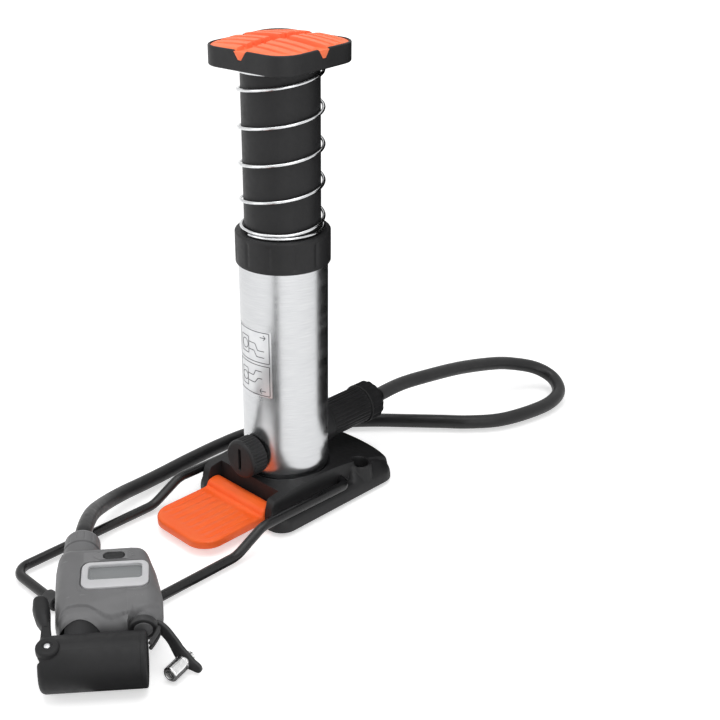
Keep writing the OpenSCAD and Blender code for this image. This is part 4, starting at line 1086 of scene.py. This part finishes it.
def lofted_cap(plan, spine, top, radius, power, low, n_side=16, n_in=105, under=0.22):
    """A shell over a closed outline. Rings run from the outline inwards to a spine: ring t lies at
    outline + (spine - outline) t, and its height is low + (top(u, v) - low) times the superellipse
    (1 - (1 - d/radius)^power)^(1/power), where d is how far the ring has moved in. radius is one number for
    each point of the outline."""
    (u0, v0), (u1, v1) = spine
    line = np.stack([np.clip(plan[:, 0], u0, u1), np.clip(plan[:, 1], v0, v1)], 1)
    reach = np.linalg.norm(plan - line, axis=1, keepdims=True)
    radius = radius[:, None]
    turn = np.linspace(0, math.pi / 2, n_side)
    t = [np.minimum(radius * (1 - math.cos(a)) / reach, 0.6) for a in turn]
    t += [t[-1] + (0.996 - t[-1]) * k for k in np.linspace(0, 1, n_in + 1)[1:]]
    rings = [ring_at(inset(plan, under), low), ring_at(plan, low + under)]
    for s in t[1:]:
        p = plan + (line - plan) * s
        depth = np.clip(s * reach / radius, 0, 1)[:, 0]
        rise = (1 - (1 - depth) ** power) ** (1 / power)
        rings.append(np.column_stack([p, low + under + (top(p[:, 0], p[:, 1]) - low - under) * rise]))
    return capped(np.stack(rings))


def edge_radius(plan, front, side):
    """Rounding of the shell's rim: front where the outline faces the nozzle, side elsewhere, eased along
    it."""
    d = np.roll(plan, -1, 0) - np.roll(plan, 1, 0)
    facing = -unit(np.stack([d[:, 1], -d[:, 0]], 1))[:, 1]
    share = smooth((facing - 0.5) / 0.4) * smooth((24 - plan[:, 1]) / 4)
    share = np.where((np.abs(plan[:, 0] - 15) < 2.5) & (plan[:, 1] < 17.6), 1, share)
    r = side + (front - side) * share
    k = np.hanning(17)
    return np.convolve(np.concatenate([r[-8:], r, r[:8]]), k / k.sum(), "valid")


def make_head():
    """The gauge head's grey shell: an upper and a lower half that meet in a fine groove, the display's bezel,
    the power button, and the two-step collar that takes the hose."""
    plan = head_plan()
    upper = lofted_cap(plan, SPINE, head_height, edge_radius(plan, 1.6, 7.5), 2.3, 0.0)
    shell = piece("head_upper_skin", [in_head(upper)], SHELL, "head", ["head_upper"], sharp=40)
    window = resampled(rounded_box(25.0, 10.0, 1.8), 120, True) + WINDOW_AT
    slot = resampled(rounded_box(10.1, 4.7, 2.3), 96, True) + BUTTON_AT
    bezel_seat = resampled(rounded_box(31.1, 17.5, 4.5), 160, True) + BEZEL_AT
    nozzle_room = along_x(cylinder(12.5, -40, 60, 128))
    neck_room = along_y(cylinder(9.62, -5, 22.3, 96), NECK_U, 0)
    cuts = [layered(window, [(0, 5), (0, 20)]), layered(slot, [(0, 9), (0, 20)]),
            layered(bezel_seat, [(0, 11.4), (0, 12.5), (-0.1, 12.7), (-0.5, 12.9), (-0.5, 20)]), nozzle_room,
            neck_room]
    carve(shell, *[in_head(c) for c in cuts], sharp=40)
    under = lambda u, v: 11.4 - 0.10 * np.maximum(28 - v, 0) - 0.004 * np.maximum(np.abs(u - 4.5) - 12,
                                                                                  0) ** 2
    pts, faces = lofted_cap(plan, SPINE, under, edge_radius(plan, 3.0, 7.0), 2.2, 0.0, 12, 20)
    lower = piece("head_lower_skin", [in_head((pts * [1, 1, -1], faces))], SHELL, "head",
                  ["head_lower"],
                  sharp=40)
    cuts = [nozzle_room, neck_room, moved(cylinder(11.6, -20, -9.2, 96), (8, 36, 0))]
    cuts += [moved(cylinder(1.9, -20, -6, 32), (*p, 0)) for p in SCREWS_AT]
    carve(lower, *[in_head(c) for c in cuts], sharp=40)
    make_collar()
    make_bezel()


def make_collar():
    """The hose's collar on the head, turned about the hose: a wide step, a groove, and a second step with
    fourteen narrow flutes and a flared mouth. A seam runs along both sides where the two moulded halves meet,
    as a notch exp(-(sin(angle) / width)^2) deep, with a small lug on it."""
    wall = soft([(4.3, 55, 0.1), (8.7, 55, 0.1), (8.7, 66.4, 0.3), (7.9, 66.8, 0.2), (7.9, 67.6, 0.2),
                 (8.6, 68.0, 0.3),
                 (8.4, 74.4, 1.0), (7.5, 76, 0.4), (6.3, 76, 0.3), (4.3, 73.6, 0.4)], True, 5)
    ribs = flutes(14, 0.28, 9, (68.6, 0.5), (74.6, 1.0), 7.2, 68)
    seam = lambda a, r, z: ribs(a, r, z) - np.where((r > 7.2), 0.3 * np.exp(-(np.sin(a) / 0.035) ** 2), 0)
    parts = [along_y(turned(fill_heights(wall), 240, seam, True), COLLAR_U, 0)]
    for side in (-1, 1):
        lug = layered(resampled(rounded_box(2.2, 5.2, 0.6), 48, True), edge_round(-1.1, 1.1, 0.5))
        parts.append(moved(lug, (COLLAR_U + side * 8.4, 64.2, 0)))
    piece("head_hose_collar", [in_head(p) for p in parts], SHELL, "head")


def fill_heights(profile, step=0.5):
    """Adds points along the long sides of a closed profile, so that a shape can change along them."""
    out = []
    for a, b in zip(profile, np.roll(profile, -1, 0)):
        n = max(1, int(np.linalg.norm(b - a) / step)) if a[0] > 6 and b[0] > 6 else 1
        out.append(a + (b - a) * np.arange(n)[:, None] / n)
    return np.vstack(out)


def make_bezel():
    """The light grey frame round the display: a rounded outline with a broad lower band, crowned between a
    rounded outer rim and a bevel down to the window; then the window, and the button in its pill."""
    outer = resampled(rounded_box(30, 16.4, 4, 12), 200, True) + BEZEL_AT
    inner = resampled(rounded_box(24, 9, 1.6, 12), 200, True) + WINDOW_AT
    way = lambda t, z: ring_at(outer + (inner - outer) * t, z)
    stack = [ring_at(inset(outer, 0.02), 11.55), ring_at(inset(outer, 0.02), 12.7),
             ring_at(inset(outer, 0.15), 12.95),
             ring_at(inset(outer, 0.5), 13.08), way(0.5, 13.12), way(0.85, 13.05),
             ring_at(inset(inner, -0.15), 12.9),
             ring_at(inner, 12.6), ring_at(inner, 11.55)]
    piece("display_bezel_skin", [in_head(grid(np.stack(stack), True, True))], BEZEL, "head",
          ["display_bezel"])
    glass = resampled(rounded_box(23.92, 8.92, 1.56, 8), 120, True) + WINDOW_AT
    piece("display_window", [in_head(layered(glass, edge_round(11.52, 12.45, 0.12, 3)))], WINDOW, "head",
          ["display_lens"])
    pill = resampled(rounded_box(9.4, 4, 1.98, 12), 140, True) + BUTTON_AT
    key = [(0, 9.7), (0, 12.6), (0.12, 12.95), (0.4, 13.15), (1.0, 13.2), (1.6, 12.95)]
    piece("power_button_skin", [in_head(layered(pill, key))], NYLON, "button",
          ["power_button"])
    softened("battery_door", 0.25, SHELL)
    softened("head_screws", 0.1, STEEL)


def make_nozzle():
    """The black nozzle: a cylinder along U with one rounded end and an end cap, a neck towards the display,
    and a boss for the lever's pin. The lever's slot is cut through the left end."""
    tube = soft([(0, -22.8, 0), (12.25, -22.8, 2.6), (12.25, 20.35, 0.06), (8.42, 20.35, 0.1),
                 (8.42, 8.4, 0.1),
                 (3, 8.4, 0.1), (3, -9, 0.1), (0, -9, 0)], steps=6)
    body = along_x(turned(tube, 160))
    boss = soft([(0, 4, 0), (5.2, 4, 0.1), (5.2, 13.2, 1.2), (2.3, 13.4, 0.2), (2.1, 13.0, 0.2),
                 (0, 13.0, 0)], steps=5)
    boss = moved(turned(boss, 96), (*PIN_AT, 0))
    neck = along_y(turned(soft([(0, 3, 0), (9.4, 3, 0.1), (9.4, 22, 0.4), (0, 22, 0)], steps=4), 128), NECK_U,
                   0)
    slot = block(-40, -12.7, -7.1, 40, 2.8, 9.8)
    pin_hole = moved(cylinder(1.53, -10, 16, 40), (*PIN_AT, 0))
    for name, part, cuts, replaces in [("nozzle_body_skin", body, (slot, pin_hole), ["nozzle_body"]),
                                       ("nozzle_boss", boss, (slot, pin_hole), ()),
                                       ("nozzle_neck", neck, (along_x(cylinder(12.2, -40, 40, 160)), slot),
                                        ())]:
        made = piece(name, [in_head(part)], NOZZLE, "head", replaces, sharp=40)
        carve(made, *[in_head(c) for c in cuts], sharp=40)
    ring = soft([(4.02, 20.4, 0.1), (12.22, 20.4, 0.05), (12.2, 22.8, 0.7), (5.2, 22.8, 0.5),
                 (4.02, 22.2, 0.2)], True, 5)
    piece("nozzle_cap_skin", [in_head(along_x(turned(ring, 160, closed=True)))], NOZZLE, "head",
          ["nozzle_cap"])
    pin = soft([(0, -3.9, 0), (1.47, -3.9, 0.2), (1.47, 13.3, 0.6), (0, 13.65, 0)], steps=6)
    pin = moved(turned(pin, 64), (*PIN_AT, 0))
    piece("lever_pin_skin", [in_head(pin)], STEEL, "head", ["lever_pin"])


def make_lever():
    """The lock lever: a hub on the pin, a flat arm, and a leaf-shaped paddle that widens up and down from
    the arm and tapers to a round tip. The paddle is a loft along V of rounded sections."""
    hub = layered(arc(PIN_AT, 4.35, 0, 360, 64)[:-1], edge_round(3.05, 9.55, 0.4))
    arm = resampled(soft([(-22.3, -1.5, 0.5), (-22.3, 16, 0.5), (-18.9, 16, 0.5), (-16.6, -1.5, 0.5)], True),
                    120, True)
    arm = layered(arm, edge_round(3.05, 9.55, 0.5))
    v = np.linspace(13.2, 32.0, 60)
    t = (v - 13.2) / 18.8
    tip = np.sqrt(np.clip(1 - np.clip((t - 0.82) / 0.18, 0, 1) ** 2, 0, 1))
    high = (3.1 + 2.1 * smooth(t / 0.45)) * np.maximum(tip, 0.05)
    mid = np.interp(v, [13.2, 19, 24.5, 29.5, 32], [-20.4, -22.3, -23.4, -24.0, -24.0])
    thick = np.interp(v, [13.2, 19, 24.5, 29.5, 32], [1.9, 3.2, 3.9, 3.5, 2.4]) * np.maximum(tip, 0.2)
    s = ring_section(48)
    s = np.sign(s) * np.abs(s) ** 0.72
    rings = np.stack([mid[:, None] + thick[:, None] * s[:, 0], np.broadcast_to(v[:, None], (60, 48)),
                      6.6 + high[:, None] * s[:, 1]], 2)
    piece("lock_lever_skin", [in_head(p) for p in (hub, arm, capped(rings))], NOZZLE, "lever",
          ["lock_lever"])


# ---------------------------------------------------------------- strap and valve adapter

ADAPTER_DIR = unit(JOINTS["adapter_pull"]["axis"])
ADAPTER = np.array([79.3, -135.8, 3.9])


def make_strap():
    """The soft strap that keeps the adapter: a ring over the head's peg, a curved band with a rounded oblong
    section that swells round the adapter and ends in a tip, and a short round tongue to the nozzle's end."""
    ring = soft([(4.12, 12.9, 0.2), (6.2, 12.9, 0.8), (6.2, 16.4, 0.8), (4.12, 16.4, 0.2)], True, 5)
    ring = in_head(along_y(turned(ring, 96, closed=True), *PEG_AT))
    peg = turned(soft([(0, 12.6, 0), (4.08, 12.6, 0.1), (4.08, 20.8, 0.2), (0, 20.8, 0)], steps=4), 64)
    piece("strap_peg", [in_head(along_y(peg, *PEG_AT))], SHELL, "head")
    line = np.array([(65.0, -140.2, 17.6), (69.0, -138.7, 16.0), (73.4, -137.5, 12.0), (76.4, -136.8, 8.0),
                     (79.3, -135.8, 4.6), (83.0, -134.7, 2.9), (87.4, -133.4, 1.7)])
    path = curve_through(line, 12)
    s = np.linspace(0, 1, len(path))
    wide = np.interp(s, [0, 0.1, 0.3, 0.45, 0.62, 0.74, 0.86, 1], [2.8, 3.3, 3.1, 3.5, 4.4, 4.0, 2.9, 2.1])
    wide = wide * np.sqrt(1 - np.clip((s - 0.92) / 0.0815, 0, 1) ** 2 * 0.97)
    thin = np.interp(s, [0, 0.9, 1], [1.2, 1.2, 0.7])
    q = ring_section(40)
    q = np.sign(q) * np.abs(q) ** 0.6
    t = unit(np.gradient(path, axis=0))
    above = unit(np.cross(ADAPTER_DIR, t))
    band = capped(path[:, None] + q[None, :, :1] * thin[:, None, None] * ADAPTER_DIR
                  + q[None, :, 1:] * wide[:, None, None] * above[:, None])
    tongues = []
    for lift in (-1.5, 1.5):
        a, b = np.array([27.6, 14.6, 2.2 + lift]), np.array([24.2, 0.8, 6.6 + lift])
        way = curve_through([a, a * 0.6 + b * 0.4 + [0.9, 0, 0.5], b], 10)
        tongues.append(in_head(round_rod(way, 0.95, 20)))
    piece("strap_band", [ring, band] + tongues, RUBBER, "head", ["adapter_strap"], sharp=45)


def make_adapter():
    """The plated valve adapter: a stem through the strap and a round body whose sides are six rolled flats,
    with a fine groove and a bored end. r = min(round, flat / cos of the angle from the flat's middle)."""
    body = soft([(1.2, -4.2, 0.1), (2.15, -4.2, 0.3), (2.15, 1.3, 0.1), (3.55, 1.3, 0.3), (3.55, 2.6, 0.1),
                 (3.2, 2.8, 0.1),
                 (3.2, 3.1, 0.1), (3.6, 3.3, 0.1), (3.6, 11.2, 0.5), (3.0, 11.75, 0.3), (2.1, 11.75, 0.2),
                 (1.9, 6.2, 0.1),
                 (1.2, 6.2, 0.1)], True, 4)
    body = with_run(body, 10.5, 3.6, 3.6, 10.4, 10)
    near = lambda a: (a + math.pi / 6) % (math.pi / 3) - math.pi / 6
    flats = lambda a, r, z: np.where((r > 2.6) & (z > 3.2), np.minimum(r, 3.46 / np.cos(near(a))), r)
    piece("valve_adapter_skin", [turn_to(turned(body, 216, flats, True), ADAPTER, ADAPTER_DIR)], PLATED,
          "adapter",
          ["valve_adapter"], sharp=30)


def finish_hidden():
    """The parts inside the pump and the head keep their own shapes and get their real finishes."""
    coat(ACETAL, "guide_bush", "piston_head", "tube_plug")
    coat(RUBBER, "plug_o_ring", "cap_o_ring", "piston_seal", "nozzle_grommet")
    coat(STEEL, "barrel_bolt", "pedal_screw", "tab_pin", "coin_cell", "pressure_sensor")
    coat(BRASS, "gland_barb", "hose_barb")
    coat(ALUMINIUM, "barrel_plug")
    coat(LCD, "lcd_panel")
    coat(BOARD, "circuit_board")


for make in (make_hose, make_spring, make_piston_tube, make_pedal_shell, make_pedal_pad, make_barrel,
             make_label,
             make_gland, make_valve_cap, make_base, make_foot_tab, make_stand, make_head, make_nozzle,
             make_lever,
             make_strap, make_adapter, finish_hidden):
    make()


# ---------------------------------------------------------------- floor, light and camera

def seen_rays(t):
    """1 for the rays that show the surroundings, straight, mirrored or through glass, and 0 for those that
    light things."""
    path = add(t, "ShaderNodeLightPath").outputs
    seen = path["Is Camera Ray"]
    for other in ("Is Glossy Ray", "Is Transmission Ray"):
        seen = add(t, "ShaderNodeMath", {0: seen, 1: path[other]}, operation="MAXIMUM").outputs[0]
    return seen


def card(name, corners, material):
    """A flat card of the stage, in metres."""
    mesh = bpy.data.meshes.new(name)
    mesh.from_pydata(corners, [], [(0, 1, 2, 3)])
    mesh.materials.append(material)
    obj = new_object(name, mesh)
    return obj


def floor_and_backdrop():
    """A white floor that keeps the pump's soft shadow. Where it is seen it also glows, from FLOOR_GLOW near
    the pump to 1 far from it, so that it fades into the white surroundings."""
    m, t, out, where = new_material("white_studio_floor")
    lit = add(t, "ShaderNodeBsdfDiffuse", {"Color": linear("#F4F4F4")})
    away = add(t, "ShaderNodeVectorMath", {0: where}, operation="LENGTH").outputs["Value"]
    strength = add(t, "ShaderNodeMapRange",
                   {"Value": away, "From Min": GLOW_FROM, "From Max": GLOW_TO, "To Min": FLOOR_GLOW,
                                             "To Max": 1.0}).outputs["Result"]
    glow = add(t, "ShaderNodeEmission", {"Color": linear("#FFFFFF"), "Strength": strength})
    both = add(t, "ShaderNodeAddShader", {0: lit.outputs[0], 1: glow.outputs[0]})
    mix = add(t, "ShaderNodeMixShader", {0: seen_rays(t), 1: lit.outputs[0], 2: both.outputs[0]})
    t.links.new(mix.outputs[0], out.inputs["Surface"])
    r = FLOOR_HALF
    floor = card("studio_floor", [(-r, -r, 0), (r, -r, 0), (r, r, 0), (-r, r, 0)], m)
    floor.location.z = CAD_BOX[0][2] - FLOOR_GAP


def world_light():
    """White surroundings: strength 1 where they are seen straight, mirrored or through glass, and the plain
    ambient level as light."""
    world = bpy.data.worlds.new("white_room")
    bpy.context.scene.world = world
    world.use_nodes = True
    t = world.node_tree
    t.nodes.clear()
    strength = add(t, "ShaderNodeMapRange", {"Value": seen_rays(t), "To Min": AMBIENT, "To Max": 1.0})
    back = add(t, "ShaderNodeBackground", {"Color": (1, 1, 1, 1), "Strength": strength.outputs["Result"]})
    out = add(t, "ShaderNodeOutputWorld")
    t.links.new(back.outputs[0], out.inputs["Surface"])


def softbox(name, place, aim, size, power):
    """A rectangular lamp at place, in metres, facing aim."""
    lamp = bpy.data.lights.new(name, "AREA")
    lamp.shape = "RECTANGLE"
    lamp.size, lamp.size_y = size
    lamp.energy = power
    look(new_object(name, lamp), np.array(place), np.array(aim))


def place_at(obj, right, up, back, place):
    """Puts obj at place, in metres, with its X along right, its Y along up and its -Z away from back."""
    turn = np.block([[np.stack([right, up, back], 1), place[:, None]], [np.array([[0, 0, 0, 1.0]])]])
    obj.matrix_world = Matrix(turn.tolist())


def look(obj, place, aim):
    """Puts obj at place with its -Z towards aim and its X level."""
    back = unit(place - aim)
    right = unit(np.cross((0, 0, 1), back))
    place_at(obj, right, np.cross(back, right), back, place)


def flag(name, corners, colour):
    """A card that only reflections see: it gives metal and black parts a darker edge."""
    m, t, out, _ = new_material(name + "_card")
    t.links.new(add(t, "ShaderNodeBsdfDiffuse", {"Color": linear(colour)}).outputs[0], out.inputs["Surface"])
    obj = card(name, corners, m)
    obj.visible_camera = obj.visible_shadow = obj.visible_diffuse = False


CAM_TURN, CAM_HEIGHT, CAM_ROLL = 47.166, 25.573, -0.951
CAM_AIM, CAM_DISTANCE = (0, 0, 74.1), 650.5
CAM_LENS, CAM_SHIFT = 62.37, (0.1042, 0.0067)


def camera():
    """A long lens from the front right: turned by CAM_TURN about Z from the front, raised by CAM_HEIGHT above
    the horizon and rolled by CAM_ROLL, in degrees."""
    turn, height, roll = map(math.radians, (CAM_TURN, CAM_HEIGHT, CAM_ROLL))
    back = np.array([math.sin(turn) * math.cos(height), -math.cos(turn) * math.cos(height), math.sin(height)])
    right = np.array([math.cos(turn), math.sin(turn), 0])
    up = np.cross(back, right)
    right, up = right * math.cos(roll) + up * math.sin(roll), up * math.cos(roll) - right * math.sin(roll)
    place = np.array(CAM_AIM) + back * CAM_DISTANCE
    data = bpy.data.cameras.new("camera")
    data.lens, data.sensor_width = CAM_LENS, 36.0
    data.shift_x, data.shift_y = CAM_SHIFT
    data.clip_start, data.clip_end = 0.01, 20
    obj = new_object("camera", data)
    place_at(obj, right, up, back, place * MM)
    bpy.context.scene.camera = obj


FLOOR_GLOW, GLOW_FROM, GLOW_TO = 0.5, 0.45, 1.3  # strength near the pump, and where it rises, in metres
FLOOR_HALF, FLOOR_GAP = 6.0, 0.0002  # half the floor's width, and how far it lies under the pump, in metres
AMBIENT = 0.36

floor_and_backdrop()
world_light()
softbox("top_softbox", (0.1, -0.1, 0.95), (0, -0.05, 0.08), (0.8, 0.8), 4.6)
softbox("front_softbox", (0.75, -0.35, 0.45), (0, 0, 0.12), (0.35, 0.7), 2.0)
softbox("left_softbox", (-0.35, -0.8, 0.5), (0, -0.05, 0.1), (0.5, 0.7), 1.6)
flag("rear_flag", [(-0.05, 0.068, 0.0), (0.085, 0.08, 0.0), (0.085, 0.08, 0.25), (-0.05, 0.068, 0.25)],
     "#181818")
flag("floor_flag", [(0.035, -0.052, 0.0), (0.022, -0.060, 0.0), (0.145, -0.375, 0.0), (0.215, -0.335, 0.0)],
     "#767676")
camera()

scene = bpy.context.scene
scene.view_settings.view_transform = "Standard"
